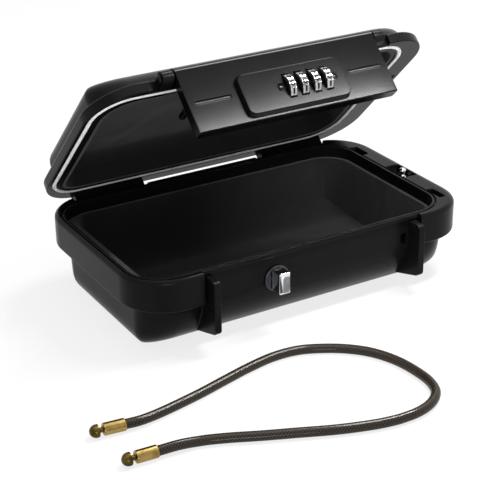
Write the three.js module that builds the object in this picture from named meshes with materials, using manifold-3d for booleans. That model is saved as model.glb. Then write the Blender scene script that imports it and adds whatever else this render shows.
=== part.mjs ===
import * as THREE from 'three';
import { mergeVertices } from 'three/addons/utils/BufferGeometryUtils.js';
import Module from 'manifold-3d';

// A portable car safe, standing open. A moulded base and lid turn on a rear hinge, a flap on the lid's
// front edge carries a four wheel combination lock, and a loose security cable lies in front.
// Millimetres, +Z up, +X to the right, front towards -Y. The origin is under the middle of the base.
// Pieces of the lid and of the flap are drawn as they stand with the safe closed, and their group turns them.

const wasm = await Module();
wasm.setup();

// Fits
const gap = 0.3; // between pieces that touch or slide
const runningGap = 0.5; // round the flap's hinge barrels
const hingeGap = 0.7; // round the lid's hinge barrels
const weld = 0.3; // how far joined solids reach into each other
const cutOver = 1; // how far a cutter reaches past the face that it opens

// Case outline
const caseWidth = 240;
const caseDepth = 146;
const cornerRadius = 30.5;
const smallestCorner = 6;

// Base shell
const baseHeight = 54;
const baseWall = 3;
const skirtHeight = 21;
const skirtStep = 8.5;
const skirtWall = 3;
const skirtHollow = 4.4;
const ledgeDepth = 10;
const sideBottomRound = 12;
const endBottomRound = 28;
const bayBottomRound = 35;
const edgeRound = 0.8;
const bayCavityInset = 5.1;
const corniceReach = 1.5;
const corniceHeight = 3;

// Rolled top edge of the rim
const rollSteps = 4;
const rollHeight = 3.5;
const rollLeft = 3.2;
const rollRight = 6;
const rollFront = 2;
const rollRear = 4.5;

// Sealing lip, placed by the distance of its centre line from the edges of the rim
const lipLeft = 4.2;
const lipRight = 16.8;
const lipFront = 5.8;
const lipRear = 12.2;
const lipRadius = 22;
const lipThickness = 1.6;
const lipGrooveWidth = 1;
const lipGrooveDepth = 2;

// Lid
const rimGap = 0.6;
const lidHeight = 23.7;
const lidWall = 2.6;
const lidStep = 7.5;
const flangeHeight = 7;
const sideTopRound = 8;
const endTopRound = 24;
const sealWidth = 2.8;
const sealHeight = 2.7;
const sealLand = 1.5;
const lidOpenAngle = THREE.MathUtils.degToRad(45);

// Foam and felt linings
const linerThickness = 2.5;
const linerRise = 2.3;
const bayLinerThickness = 4;
const lidLinerThickness = 2.5;

// Rear hinge
const hingeInset = 3.5;
const hingeDrop = 6.6;
const hingeBarrelRadius = 4.6;
const hingePinRadius = 1.5;
const pinEndGap = 1;
const hingeBlockHalf = 42;
const armInner = 46;
const armOuter = 96;
const armEndWall = 3;
const armRear = 2.9;
const armRootRise = 1.4;
const armNotchGap = 2.5;

// Flap and its hinge
const flapAxisReach = 1.8;
const flapAxisRise = 5.4;
const flapWidth = 139.2;
const flapDepth = 8.8;
const flapDrop = 39.7;
const flapBarrelRadius = 4.6;
const flapPinRadius = 1.5;
const flapFrontWall = 2.4;
const flapSideWall = 2.5;
const flapChamfer = 0.6;
const knuckleHalf = 34.5;
const knuckleRadius = 3;
const knuckleEndGap = 0.7;
const knuckleRoomGap = 0.4;
const webFront = 1.2;
const webDrop = 2;
const lugGap = 0.8;
const lugWidth = 7.6;
const lugRadius = 4.4;
const lugRoot = 8;
const lugFootRise = 0.4;
const lugCrownRise = 0.6;
const lidBayMargin = 6;
const flapBackDrop = 3;
const hollowDrop = 5;
const pinHeadRadius = 3;
const pinHeadThickness = 1.6;
const panelGap = 2.1;
const gripInner = 40.7;
const gripOuter = 65.4;
const gripHeight = 2.4;
const gripDepth = 1.2;
const gripDrop = 21.4;
const hookWidth = 3;
const hookHeight = 3.5;
const hookBevel = 1;
const hookRoomBelow = 3;
const hookRoomAbove = 1.5;
const hookReach = 8.2;
const hookDrop = 19.5;

// Guard ribs beside the flap
const ribThickness = 4.5;
const ribReach = 7.2;
const ribTopDrop = 4;
const ribBottom = 15.4;
const ribGap = 2.2;
const ribNose = 3;
const ribToe = 2;
const ribToeDrop = 0.6;
const ribRootTop = 8.5;
const ribRootFoot = 13.5;

// Latch stud on the base
const studX = -27;
const studDrop = 0.4;
const studWidth = 7.8;
const studHeight = 13.8;
const studCorner = 1;
const studBevel = 1.5;
const studCoverGap = 1.6;
const studShankProud = 0.1;
const studShankRadius = 4;
const collarRadius = 8.5;
const collarThickness = 1.2;
const nutAcrossFlats = 13;
const nutThickness = 3;

// Lock
const lockDrop = 23.6;
const wheelRadius = 7.8;
const wheelWidth = 4.2;
const wheelPitch = 8.6;
const firstWheelX = -3.9;
const wheelCount = 4;
const digitCount = 10;
const facetAngle = THREE.MathUtils.degToRad(10);
const notchDepth = 0.35;
const windowSideGap = 0.35;
const splineTeeth = 8;
const sleeveRoot = 4.6;
const sleeveTooth = 5.2;
const sleeveCrestHalf = THREE.MathUtils.degToRad(7);
const sleeveRootHalf = THREE.MathUtils.degToRad(11);
const boreCrestHalf = THREE.MathUtils.degToRad(11.5);
const boreRootHalf = THREE.MathUtils.degToRad(15);
const shaftRadius = 1.5;
const shaftEnd = 2;
const shaftCollarWidth = 0.8;
const shaftCollarRim = 0.5;
const finReach = 2.6;
const finThickness = 1;
const finHalfHeight = 0.4;
const boltTravel = 3;
const boltThickness = 5.1;
const boltHeight = 10;
const boltDrop = 0.4;
const boltTipThickness = 2.4;
const boltTipHeight = 7.6;
const boltTipRoot = 1;
const boltBite = 2.5;
const boltStudGap = 0.8;
const boltLugWidth = 2;
const boltLugHalfHeight = 2.4;
const boltLugRoot = 2;
const earInset = 0.8;
const earWidth = 1.5;
const earReach = 1.6;
const earRise = 1.9;
const railHeight = 2;
const railInset = 4;
const railEarGap = 0.6;
const highRailHeight = 1.2;
const seatGap = 0.4;
const seatWidth = 1.5;
const seatDrop = 2.4;
const coverWall = 1.2;
const coverLeft = -35.6;
const coverRight = 35.8;
const coverAbove = 13;
const coverBelow = 13.5;
const coverCorner = 5;
const coverFlare = 1;
const coverBevel = 0.5;
const coverSeat = 3.6;
const dimpleRadius = 2.5;
const dimpleDepth = 0.5;
const dimpleOffset = 2.2;
const bearingWall = 1.7;
const bearingDepth = 5.8;
const bearingFoot = 1.4;
const bearingRise = 0.5;
const plateThickness = 1;
const plateLeft = -45;
const plateRight = 43;
const plateRoomAbove = 2.6;
const studWindowGap = 0.8;
const studWindowRise = 1.3;
const screwInset = 4;
const screwLowInset = 2.8;
const screwHighInset = 4.9;
const screwHeadRadius = 2.3;
const screwHeadHeight = 0.9;
const screwRadius = 0.9;
const screwTipGap = 1.3;
const screwSlotHalf = 1.6;
const screwSlotWidth = 0.6;
const screwSlotDepth = 0.4;
const bossRadius = 3;
const springCoilRadius = 1.3;
const springWireRadius = 0.3;
const springTurns = 5;
const springRise = 5;
const springInset = 2.4;
const detentThickness = 0.6;
const detentInset = 0.5;
const noseHalfWidth = 1.2;
const noseFoot = 1;
const noseTip = 0.3;
const noseDepth = 0.5;
const leverX = 13;
const leverRise = 2.1;
const leverTravel = 4;
const leverTabHalf = 1.5;
const leverTabHalfHeight = 1.1;
const leverTabProud = 1;
const leverTabRoot = 0.5;
const leverFlangeHalf = 3.5;
const leverFlangeThickness = 0.7;
const leverFlangeDrop = 1.8;
const leverFlangeRise = 1.6;

// Right hand land and cable chamber
const keeperWallGap = 0.6;
const chamberDepth = 14;
const chamberAhead = 11.3;
const chamberBehind = 10.2;
const keeperLandInset = 7.6;
const keeperY = -6.2;
const keeperRadius = 2.5;
const keeperRise = 1.4;
const keeperDome = 1.8;
const keeperRoomInset = 1;
const keeperRoomSpread = 0.8;
const keeperRoomAhead = 2.5;
const keeperRoomBehind = 3;
const keeperRoomRise = 4;
const portRadius = 4.3;
const portSpacing = 10.8;
const portDrop = 8;
const pocketWidth = 5;
const pocketRadius = 2.4;
const pocketDepth = 12;
const frontPocketInset = 16;
const frontPocketLength = 15;
const rearPocketInset = 27;
const rearPocketLength = 16;

// Cable
const cableRadius = 2.9;
const cableFloorGap = 0.05;
const ferruleRadius = 3.65;
const ferruleLength = 12.8;
const ferruleBevel = 0.5;
const tipNeckRadius = 1.5;
const tipNeckLength = 2;
const tipRadius = 3.8;
const tipLength = 5.4;
const tipUndercut = 0.4;
const tipRim = 1.5;
const tipNoseRadius = 1.3;
const tipDomeSteps = 4;

// Places that follow from the sizes above
const halfWidth = caseWidth / 2;
const halfDepth = caseDepth / 2;
const skirtBottom = baseHeight - skirtHeight;
const ledgeTop = baseHeight - ledgeDepth;
const lipHalf = lipThickness / 2;
const grooveOuter = lipHalf + lipGrooveWidth;
const lidBottom = baseHeight + rimGap;
const lidTop = lidBottom + lidHeight;
const flangeTop = lidBottom + flangeHeight;
const hingeY = halfDepth - hingeInset;
const hingeZ = baseHeight - hingeDrop;
const flapY = -halfDepth - flapAxisReach;
const flapZ = lidBottom + flapAxisRise;
const flapHalf = flapWidth / 2;
const flapFront = flapY - flapBarrelRadius;
const flapBack = flapFront + flapDepth;
const flapBottom = flapZ - flapDrop;
const panelY = flapBack + panelGap;
const ribInner = flapHalf + ribGap;
const ribOuter = ribInner + ribThickness;
const bayHalf = ribOuter + ribGap;
const landLeft = halfWidth - lipRight + grooveOuter;
const keeperX = landLeft + keeperLandInset;
const lockZ = flapZ - lockDrop;
const studZ = lockZ - studDrop;
const plateBack = flapBack;
const plateFront = plateBack - plateThickness;
const wheelY = plateFront - 2 * gap - wheelRadius;
const coverInner = wheelY - shaftRadius - gap;
const coverFace = coverInner - coverWall;
const coverTop = lockZ + coverAbove;
const coverBottom = lockZ - coverBelow;
const wheelCentres = Array.from({ length: wheelCount }, (_, i) => firstWheelX + i * wheelPitch);
const lastWheelX = wheelCentres[wheelCount - 1];
const windowHalf = wheelWidth / 2 + windowSideGap;
const bearingLeft = firstWheelX - windowHalf - bearingWall;
const bearingRight = lastWheelX + windowHalf + bearingWall;

// Materials
const plastic = (color, roughness) => new THREE.MeshStandardMaterial({ color, roughness, metalness: 0 });
const metal = (color, roughness) => new THREE.MeshStandardMaterial({ color, roughness, metalness: 1 });
const blackShell = plastic('#1b1b1c', 0.5);
const blackCover = plastic('#202021', 0.45);
const foam = plastic('#151515', 0.95);
const whiteSeal = plastic('#e9e9e6', 0.7);
const chrome = metal('#d9dadb', 0.12);
const steel = metal('#a9abad', 0.35);
const darkSteel = metal('#5c5d60', 0.4);
const brass = metal('#b8903c', 0.3);
const darkBrass = metal('#6d5f38', 0.4);
const cableSheath = plastic('#2b2320', 0.3);

// Turns a closed geometry into a solid that can be joined and cut
function toSolid(geometry) {
  const bare = geometry.clone();
  bare.deleteAttribute('normal');
  bare.deleteAttribute('uv');
  const merged = mergeVertices(bare, 1e-4);
  return new wasm.Manifold(new wasm.Mesh({
    numProp: 3,
    vertProperties: Float32Array.from(merged.attributes.position.array),
    triVerts: Uint32Array.from(merged.index.array),
  }));
}

// Turns a solid back into a geometry for a mesh
function toGeometry(solid) {
  const mesh = solid.getMesh();
  const geometry = new THREE.BufferGeometry();
  geometry.setAttribute('position', new THREE.BufferAttribute(mesh.vertProperties, 3));
  geometry.setIndex(new THREE.BufferAttribute(mesh.triVerts, 1));
  geometry.computeVertexNormals();
  return geometry;
}

// Box between two corners
function box(x1, x2, y1, y2, z1, z2) {
  const geometry = new THREE.BoxGeometry(x2 - x1, y2 - y1, z2 - z1);
  geometry.translate((x1 + x2) / 2, (y1 + y2) / 2, (z1 + z2) / 2);
  return toSolid(geometry);
}

// The same solid on both sides of the middle plane x = 0
function bothSides(make) {
  return make(1).add(make(-1));
}

// Box that reaches from inner to outer on one side of the middle plane
function sideBox(side, inner, outer, y1, y2, z1, z2) {
  return box(Math.min(side * inner, side * outer), Math.max(side * inner, side * outer), y1, y2, z1, z2);
}

// Straight extrusion with sharp ends
function extrude(shape, depth) {
  return new THREE.ExtrudeGeometry(shape, { depth, bevelEnabled: false, curveSegments: 6 });
}

// Profile drawn in (y, z), extruded along X
function prismX(shape, x1, x2) {
  const geometry = extrude(shape, x2 - x1);
  const axes = [new THREE.Vector3(0, 1, 0), new THREE.Vector3(0, 0, 1), new THREE.Vector3(1, 0, 0)];
  geometry.applyMatrix4(new THREE.Matrix4().makeBasis(...axes));
  geometry.translate(x1, 0, 0);
  return toSolid(geometry);
}

// The same between inner and outer on one side of the middle plane
function prismSide(shape, side, inner, outer) {
  return prismX(shape, Math.min(side * inner, side * outer), Math.max(side * inner, side * outer));
}

// Profile drawn in (x, z), extruded along Y
function prismY(shape, y1, y2) {
  const geometry = extrude(shape, y2 - y1);
  geometry.rotateX(Math.PI / 2);
  geometry.translate(0, y2, 0);
  return toSolid(geometry);
}

// Round bars along X, Y and Z
function roundX(radius, x1, x2, y, z, sides = 16) {
  const geometry = new THREE.CylinderGeometry(radius, radius, x2 - x1, sides);
  geometry.rotateZ(Math.PI / 2);
  geometry.translate((x1 + x2) / 2, y, z);
  return toSolid(geometry);
}

function roundY(radius, x, y1, y2, z, sides = 16) {
  const geometry = new THREE.CylinderGeometry(radius, radius, y2 - y1, sides);
  geometry.translate(x, (y1 + y2) / 2, z);
  return toSolid(geometry);
}

// Closed polygon through a list of points
function polygon(points) {
  return new THREE.Shape(points.map(([u, v]) => new THREE.Vector2(u, v)));
}

// A ring is a rounded rectangle at a height z. Each side has its own place and its own corner radius.
const cornerSteps = 6;
const roundSteps = 6;

function ringPoints({ left, right, front, rear, radii }) {
  const corners = [
    [right - radii.right, rear - radii.rear, radii.right, radii.rear],
    [left + radii.left, rear - radii.rear, radii.left, radii.rear],
    [left + radii.left, front + radii.front, radii.left, radii.front],
    [right - radii.right, front + radii.front, radii.right, radii.front],
  ];
  const steps = Array.from({ length: cornerSteps + 1 }, (_, step) => step / cornerSteps);
  return corners.flatMap(([x, y, rx, ry], corner) => steps.map((share) => {
    const angle = (corner + share) * (Math.PI / 2);
    return [x + rx * Math.cos(angle), y + ry * Math.sin(angle)];
  }));
}

// Rounded rectangle with one radius
function evenRing(z, left, right, front, rear, radius) {
  const radii = { left: radius, right: radius, front: radius, rear: radius };
  return { z, left, right, front, rear, radii };
}

// The case outline drawn in from each side
function insetRing(z, { left, right, front, rear }) {
  const cornerLeft = (inset) => Math.max(cornerRadius - inset, smallestCorner);
  return {
    z,
    left: -halfWidth + left,
    right: halfWidth - right,
    front: -halfDepth + front,
    rear: halfDepth - rear,
    radii: {
      left: cornerLeft(left), right: cornerLeft(right), front: cornerLeft(front), rear: cornerLeft(rear),
    },
  };
}

function evenInset(z, inset) {
  return insetRing(z, { left: inset, right: inset, front: inset, rear: inset });
}

// The sealing lip's centre line moved outward by an offset
function lipRing(z, offset) {
  return evenRing(
    z,
    -halfWidth + lipLeft - offset,
    halfWidth - lipRight + offset,
    -halfDepth + lipFront - offset,
    halfDepth - lipRear + offset,
    lipRadius + offset,
  );
}

// Closed skin through rings, lowest first
function loftGeometry(rings) {
  const loops = rings.map((ring) => ringPoints(ring).map(([x, y]) => [x, y, ring.z]));
  const count = loops[0].length;
  const index = [];
  for (let level = 0; level + 1 < loops.length; level += 1) {
    for (let i = 0; i < count; i += 1) {
      const a = level * count + i;
      const b = level * count + ((i + 1) % count);
      index.push(a, b, b + count, a, b + count, a + count);
    }
  }
  const last = (loops.length - 1) * count;
  for (let i = 1; i + 1 < count; i += 1) {
    index.push(0, i + 1, i, last, last + i, last + i + 1);
  }
  const geometry = new THREE.BufferGeometry();
  geometry.setAttribute('position', new THREE.Float32BufferAttribute(loops.flat(2), 3));
  geometry.setIndex(index);
  return geometry;
}

const loft = (rings) => toSolid(loftGeometry(rings));

// Upright slab over one outline
function slab(makeRing, z1, z2) {
  return loft([makeRing(z1), makeRing(z2)]);
}

// How far a quarter round of this radius stands in from its wall, at a height above its foot
function roundInset(radius, rise) {
  return rise >= radius ? 0 : radius - Math.sqrt(radius ** 2 - (radius - rise) ** 2);
}

// Lower body of the base at a depth under its outer face
function bodySkin(depth, top) {
  const sideRound = sideBottomRound - depth;
  const endRound = endBottomRound - depth;
  const ringAt = (rise) => {
    const side = skirtStep + depth + roundInset(sideRound, rise);
    const end = skirtStep + depth + roundInset(endRound, rise);
    return insetRing(depth + rise, { left: side, right: side, front: end, rear: end });
  };
  const rises = Array.from({ length: roundSteps + 1 }, (_, step) => (
    endRound * (1 - Math.cos((step / roundSteps) * (Math.PI / 2)))
  ));
  return loft([...rises, top - depth].map(ringAt));
}

// Front panel bay of the base at a depth under its outer face
function baySkin(depth, half, top) {
  const front = panelY + depth;
  const radius = bayBottomRound - depth;
  const shape = new THREE.Shape();
  shape.moveTo(front + radius, depth);
  shape.lineTo(front + radius, top);
  shape.lineTo(front, top);
  shape.lineTo(front, depth + radius);
  shape.absarc(front + radius, depth + radius, radius, Math.PI, 1.5 * Math.PI, false);
  return prismX(shape, -half, half);
}

// Inside of the base, drawn in from its walls by an inset
const bayCavityHalf = flapHalf - bayCavityInset;

function baseCavity(inset, bayInset, top) {
  const depth = baseWall + inset;
  const mouth = slab((z) => lipRing(z, -lipHalf - inset), 0, top);
  return bodySkin(depth, top)
    .add(baySkin(baseWall + bayInset, bayCavityHalf - inset, top))
    .intersect(mouth);
}

// Skirt of the base with its rolled rim, hollow from below
function baseSkirt() {
  const rollRing = (step) => {
    const angle = (step / rollSteps) * (Math.PI / 2);
    const share = 1 - Math.cos(angle);
    return insetRing(baseHeight - rollHeight * (1 - Math.sin(angle)), {
      left: rollLeft * share, right: rollRight * share, front: rollFront * share, rear: rollRear * share,
    });
  };
  const outside = loft([
    evenInset(skirtBottom, edgeRound),
    evenInset(skirtBottom + edgeRound, 0),
    ...Array.from({ length: rollSteps + 1 }, (_, step) => rollRing(step)),
  ]);
  const closedHalf = bayHalf + skirtWall;
  const hollow = slab((z) => evenInset(z, skirtWall), skirtBottom - cutOver, skirtBottom + skirtHollow)
    .subtract(box(-closedHalf, closedHalf, -halfDepth, panelY + baseWall, 0, baseHeight));
  const bay = box(-bayHalf, bayHalf, -halfDepth - cutOver, panelY, 0, baseHeight + cutOver);
  return outside.subtract(hollow).subtract(bay);
}

// Guard rib beside the flap, on one side
function guardRib(side) {
  const front = -halfDepth - ribReach;
  const top = baseHeight - ribTopDrop;
  const shape = new THREE.Shape();
  shape.moveTo(panelY + ribRootTop, top);
  shape.lineTo(front + ribNose, top);
  shape.quadraticCurveTo(front, top, front, top - ribNose);
  shape.lineTo(front, ribBottom + ribToe);
  shape.quadraticCurveTo(front, ribBottom, front + ribToe, ribBottom - ribToeDrop);
  shape.lineTo(panelY + ribRootFoot, ribBottom / 2);
  return prismSide(shape, side, ribInner, ribOuter);
}

// Rear hinge block in the middle of the base, with its barrel
const notchFloor = hingeZ - hingeBarrelRadius - hingeGap;
const notchFront = hingeY - hingeBarrelRadius - hingeGap;

function hingeBlock() {
  return box(-hingeBlockHalf, hingeBlockHalf, notchFront - weld, halfDepth, notchFloor - weld, hingeZ)
    .add(roundX(hingeBarrelRadius, -hingeBlockHalf, hingeBlockHalf, hingeY, hingeZ, 24));
}

// Pocket beside the lip on the right hand land, with a rounded outer edge
function landPocket(front, rear) {
  const floor = baseHeight - pocketDepth;
  const ring = (z) => evenRing(z, landLeft, landLeft + pocketWidth, front, rear, pocketRadius);
  return slab(ring, floor, baseHeight + cutOver)
    .add(box(landLeft, landLeft + pocketWidth / 2, front, rear, floor, baseHeight + cutOver));
}

// Chamber in the land that holds the ends of the cable, with its two ports through the skirt
const chamberRight = keeperX + keeperRadius + keeperWallGap;
const chamberFront = keeperY - chamberAhead;
const chamberRear = keeperY + chamberBehind;
const chamberFloor = baseHeight - chamberDepth;

function cableChamber() {
  const hollow = box(landLeft, chamberRight, chamberFront, chamberRear, chamberFloor, baseHeight + cutOver);
  const port = (y) => roundX(
    portRadius, chamberRight - cutOver, halfWidth + cutOver, y, baseHeight - portDrop, 16,
  );
  return hollow.add(port(keeperY - portSpacing / 2)).add(port(keeperY + portSpacing / 2));
}

// Slot in the front panel for one of the flap's side hooks
const hookInner = flapHalf - hookWidth;
const hookTop = flapZ - hookDrop;
const hookBack = flapBack + hookReach;

function hookSlot(side) {
  return sideBox(
    side, hookInner - 2 * gap, flapHalf + runningGap,
    panelY - cutOver, hookBack + gap, hookTop - hookHeight - hookRoomBelow, hookTop + hookRoomAbove,
  );
}

function baseShell() {
  const cornice = box(
    -bayHalf, bayHalf, panelY - corniceReach, panelY + baseWall, baseHeight - corniceHeight, baseHeight,
  );
  const solidBase = bodySkin(0, baseHeight)
    .add(baySkin(0, bayHalf, baseHeight))
    .add(baseSkirt())
    .add(bothSides(guardRib))
    .add(cornice);
  const mouth = slab((z) => lipRing(z, -lipHalf), ledgeTop, baseHeight + cutOver);
  const lip = slab((z) => lipRing(z, lipHalf), 0, baseHeight + 2 * cutOver);
  const groove = slab((z) => lipRing(z, grooveOuter), baseHeight - lipGrooveDepth, baseHeight + cutOver)
    .subtract(lip);
  const notchHalf = armOuter + armNotchGap;
  const notch = box(-notchHalf, notchHalf, notchFront, halfDepth + cutOver, notchFloor, baseHeight + cutOver);
  const nutRadius = nutAcrossFlats / Math.sqrt(3) + gap;
  const frontPocket = -halfDepth + frontPocketInset;
  const rearPocket = halfDepth - rearPocketInset;
  const panelBack = panelY + baseWall;
  return solidBase
    .subtract(baseCavity(0, 0, ledgeTop + cutOver))
    .subtract(mouth)
    .subtract(groove)
    .subtract(notch)
    .add(hingeBlock())
    .subtract(roundX(hingePinRadius + gap, -armOuter, armOuter, hingeY, hingeZ))
    .subtract(landPocket(frontPocket, frontPocket + frontPocketLength))
    .subtract(landPocket(rearPocket - rearPocketLength, rearPocket))
    .subtract(cableChamber())
    .subtract(bothSides(hookSlot))
    .subtract(roundY(studShankRadius + gap, studX, panelY - cutOver, panelBack + cutOver, studZ, 24))
    .subtract(roundY(nutRadius, studX, panelBack, panelBack + nutThickness, studZ, 24));
}

// Nut behind the stud, used for the nut itself and for its pocket in the lining
function hexagon(acrossFlats, x, z) {
  const radius = acrossFlats / Math.sqrt(3);
  return polygon(Array.from({ length: 6 }, (_, i) => {
    const angle = (i / 6) * 2 * Math.PI;
    return [x + radius * Math.cos(angle), z + radius * Math.sin(angle)];
  }));
}

const nutFront = panelY + baseWall + gap;
const nutBack = nutFront + nutThickness;

function studNut() {
  return prismY(hexagon(nutAcrossFlats, studX, studZ), nutFront, nutBack)
    .subtract(roundY(studShankRadius + gap, studX, nutFront - cutOver, nutBack + cutOver, studZ, 24));
}

// Foam tub that lines the base
function baseLiner() {
  const top = ledgeTop + linerRise;
  const walls = baseCavity(gap, gap, top);
  const flange = slab((z) => lipRing(z, -lipHalf - gap), ledgeTop + gap, top);
  const inside = baseCavity(linerThickness + gap, bayLinerThickness + gap, top + cutOver);
  const nutRoom = prismY(hexagon(nutAcrossFlats + 2 * gap, studX, studZ), nutFront - cutOver, nutBack + gap);
  return walls.add(flange).subtract(inside).subtract(nutRoom);
}

// Latch stud: a bevelled flat sided post on a round shank, with a notch for the bolt
const boltBack = plateFront - gap;
const boltFront = boltBack - boltThickness;
const boltBottom = lockZ - boltHeight / 2 - boltDrop;
const studRight = studX + studWidth / 2;
const studFront = coverInner + studCoverGap;
const collarFront = panelY - gap - collarThickness;

function latchStud() {
  const ring = (y, inset) => evenRing(
    -y, studX - studWidth / 2 + inset, studX + studWidth / 2 - inset,
    studZ - studHeight / 2 + inset, studZ + studHeight / 2 - inset, studCorner,
  );
  const post = toSolid(loftGeometry([
    ring(collarFront - gap, 0),
    ring(studFront + studBevel, 0),
    ring(studFront, studBevel),
  ]).rotateX(Math.PI / 2));
  const shank = roundY(studShankRadius, studX, collarFront - gap - weld, nutBack + studShankProud, studZ, 24);
  const notch = box(
    studRight - boltBite, studRight + cutOver, boltFront - gap, boltFront + boltTipThickness + gap,
    boltBottom - gap, boltBottom + boltTipHeight + gap,
  );
  return post.add(shank).subtract(notch);
}

function studCollar() {
  return roundY(collarRadius, studX, collarFront, panelY - gap, studZ, 32)
    .subtract(roundY(studShankRadius + gap, studX, collarFront - cutOver, panelY, studZ, 24));
}

// Domed chrome pin that stands in the cable chamber
const domeSteps = 4;

function keeperPin() {
  const foot = chamberFloor + gap;
  const top = baseHeight + keeperRise;
  const profile = [new THREE.Vector2(0, foot), new THREE.Vector2(keeperRadius, foot)];
  for (let step = 0; step < domeSteps; step += 1) {
    const angle = (step / domeSteps) * (Math.PI / 2);
    const height = top - keeperDome * (1 - Math.sin(angle));
    profile.push(new THREE.Vector2(keeperRadius * Math.cos(angle), height));
  }
  profile.push(new THREE.Vector2(0, top));
  return new THREE.LatheGeometry(profile, 16).rotateX(Math.PI / 2);
}

// Lid skin at a depth under its outer face, from a height up to the crown
function lidSkin(depth, from) {
  const crown = lidTop - depth;
  const sideRound = sideTopRound - depth;
  const endRound = endTopRound - depth;
  const ringAt = (z) => {
    const side = lidStep + depth + roundInset(sideRound, crown - z);
    const end = lidStep + depth + roundInset(endRound, crown - z);
    return insetRing(z, { left: side, right: side, front: end, rear: end });
  };
  const heights = Array.from({ length: roundSteps + 1 }, (_, step) => (
    crown - endRound * (1 - Math.cos((1 - step / roundSteps) * (Math.PI / 2)))
  ));
  return loft([from, ...heights.filter((z) => z > from + 0.5)].map(ringAt));
}

function lidCavity(inset, from) {
  const land = sealWidth / 2 + sealLand;
  return lidSkin(lidWall + inset, from)
    .intersect(slab((z) => lipRing(z, -land - inset), from - cutOver, lidTop));
}

// Arm of the rear hinge on one side, with its barrel
function hingeArm(side) {
  const inner = Math.min(side * armInner, side * armOuter);
  const outer = Math.max(side * armInner, side * armOuter);
  return roundX(hingeBarrelRadius, inner, outer, hingeY, hingeZ, 24)
    .add(box(inner, outer, hingeY - hingeBarrelRadius, hingeY + armRear, hingeZ, lidBottom + armRootRise));
}

// Lug that carries one end of the flap's hinge pin
const lugInner = flapHalf + lugGap;
const lugOuter = lugInner + lugWidth;

function flapLug(side) {
  const shape = new THREE.Shape();
  shape.moveTo(flapY + lugRoot, lidBottom + lugFootRise);
  shape.lineTo(flapY + lugRoot, flangeTop + lugCrownRise);
  shape.lineTo(flapY, flapZ + lugRadius);
  shape.absarc(flapY, flapZ, lugRadius, 0.5 * Math.PI, 1.5 * Math.PI, false);
  return prismSide(shape, side, lugInner, lugOuter);
}

const flapBearing = flapPinRadius + gap;

function lidShell() {
  const flange = loft([
    evenInset(lidBottom, edgeRound),
    evenInset(lidBottom + edgeRound, 0),
    evenInset(flangeTop - edgeRound, 0),
    evenInset(flangeTop, edgeRound),
  ]);
  const bayFace = flapY + flapBarrelRadius + runningGap;
  const lidBayHalf = lugOuter + lidBayMargin;
  const under = lidBottom - cutOver;
  const bay = box(-lidBayHalf, lidBayHalf, -halfDepth - cutOver, bayFace, under, flangeTop + cutOver);
  const sealRoom = slab((z) => lipRing(z, sealWidth / 2 + gap), under, lidBottom + sealHeight)
    .subtract(slab((z) => lipRing(z, -sealWidth / 2 - gap), under - cutOver, lidTop));
  const keeperRoom = box(
    landLeft + keeperRoomInset, chamberRight + keeperRoomSpread,
    chamberFront - keeperRoomAhead, chamberRear + keeperRoomBehind,
    under, lidBottom + keeperRise + keeperRoomRise,
  );
  const knuckleWeb = box(
    -knuckleHalf, knuckleHalf, flapY - webFront, bayFace + weld, lidBottom + gap, flapZ - webDrop,
  );
  return flange
    .subtract(bay)
    .add(lidSkin(0, flangeTop - weld))
    .add(bothSides(hingeArm))
    .add(bothSides(flapLug))
    .add(knuckleWeb)
    .add(roundX(knuckleRadius, -knuckleHalf, knuckleHalf, flapY, flapZ))
    .subtract(lidCavity(0, under))
    .subtract(sealRoom)
    .subtract(keeperRoom)
    .subtract(roundX(hingePinRadius + gap, armEndWall - armOuter, armOuter - armEndWall, hingeY, hingeZ))
    .subtract(roundX(flapBearing, -lugOuter - cutOver, lugOuter + cutOver, flapY, flapZ));
}

// Felt dish in the lid
function lidLiner() {
  const foot = lidBottom + rimGap;
  return lidCavity(gap, foot).subtract(lidCavity(gap + lidLinerThickness, foot - cutOver));
}

function lidSeal() {
  const low = baseHeight + gap;
  return slab((z) => lipRing(z, sealWidth / 2), low, low + sealHeight)
    .subtract(slab((z) => lipRing(z, -sealWidth / 2), low - cutOver, low + sealHeight + cutOver));
}

function rearHingePin() {
  const end = armOuter - armEndWall - pinEndGap;
  return roundX(hingePinRadius, -end, end, hingeY, hingeZ, 16);
}

// Flap hinge pin with a head at each end
function flapHingePin() {
  const shoulder = lugOuter + gap;
  const middle = shoulder + pinHeadThickness / 2;
  const headHalf = pinHeadThickness / 2;
  const head = (side) => roundX(
    pinHeadRadius, side * middle - headHalf, side * middle + headHalf, flapY, flapZ, 20,
  );
  return roundX(flapPinRadius, -middle, middle, flapY, flapZ, 16).add(bothSides(head));
}

// Screw places of the lock's back plate
const hollowBottom = flapBottom + flapSideWall;
const hollowTop = flapZ - hollowDrop;
const plateBottom = hollowBottom + runningGap;
const plateTop = hollowTop - plateRoomAbove;
const screwPlaces = [plateBottom + screwLowInset, plateTop - screwHighInset].flatMap((z) => [
  [plateLeft + screwInset, z],
  [plateRight - screwInset, z],
]);
const bossBack = plateFront - gap;
const flapHollowFront = flapFront + flapFrontWall;
const screwTip = flapHollowFront + screwTipGap;

// Outline of the flap seen from its end
function flapProfile() {
  const shape = new THREE.Shape();
  shape.moveTo(flapFront + flapChamfer, flapBottom);
  shape.lineTo(flapBack, flapBottom);
  shape.lineTo(flapBack, flapZ - flapBackDrop);
  shape.lineTo(flapY + flapBarrelRadius, flapZ);
  shape.absarc(flapY, flapZ, flapBarrelRadius, 0, Math.PI, false);
  shape.lineTo(flapFront, flapBottom + flapChamfer);
  return shape;
}

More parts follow.
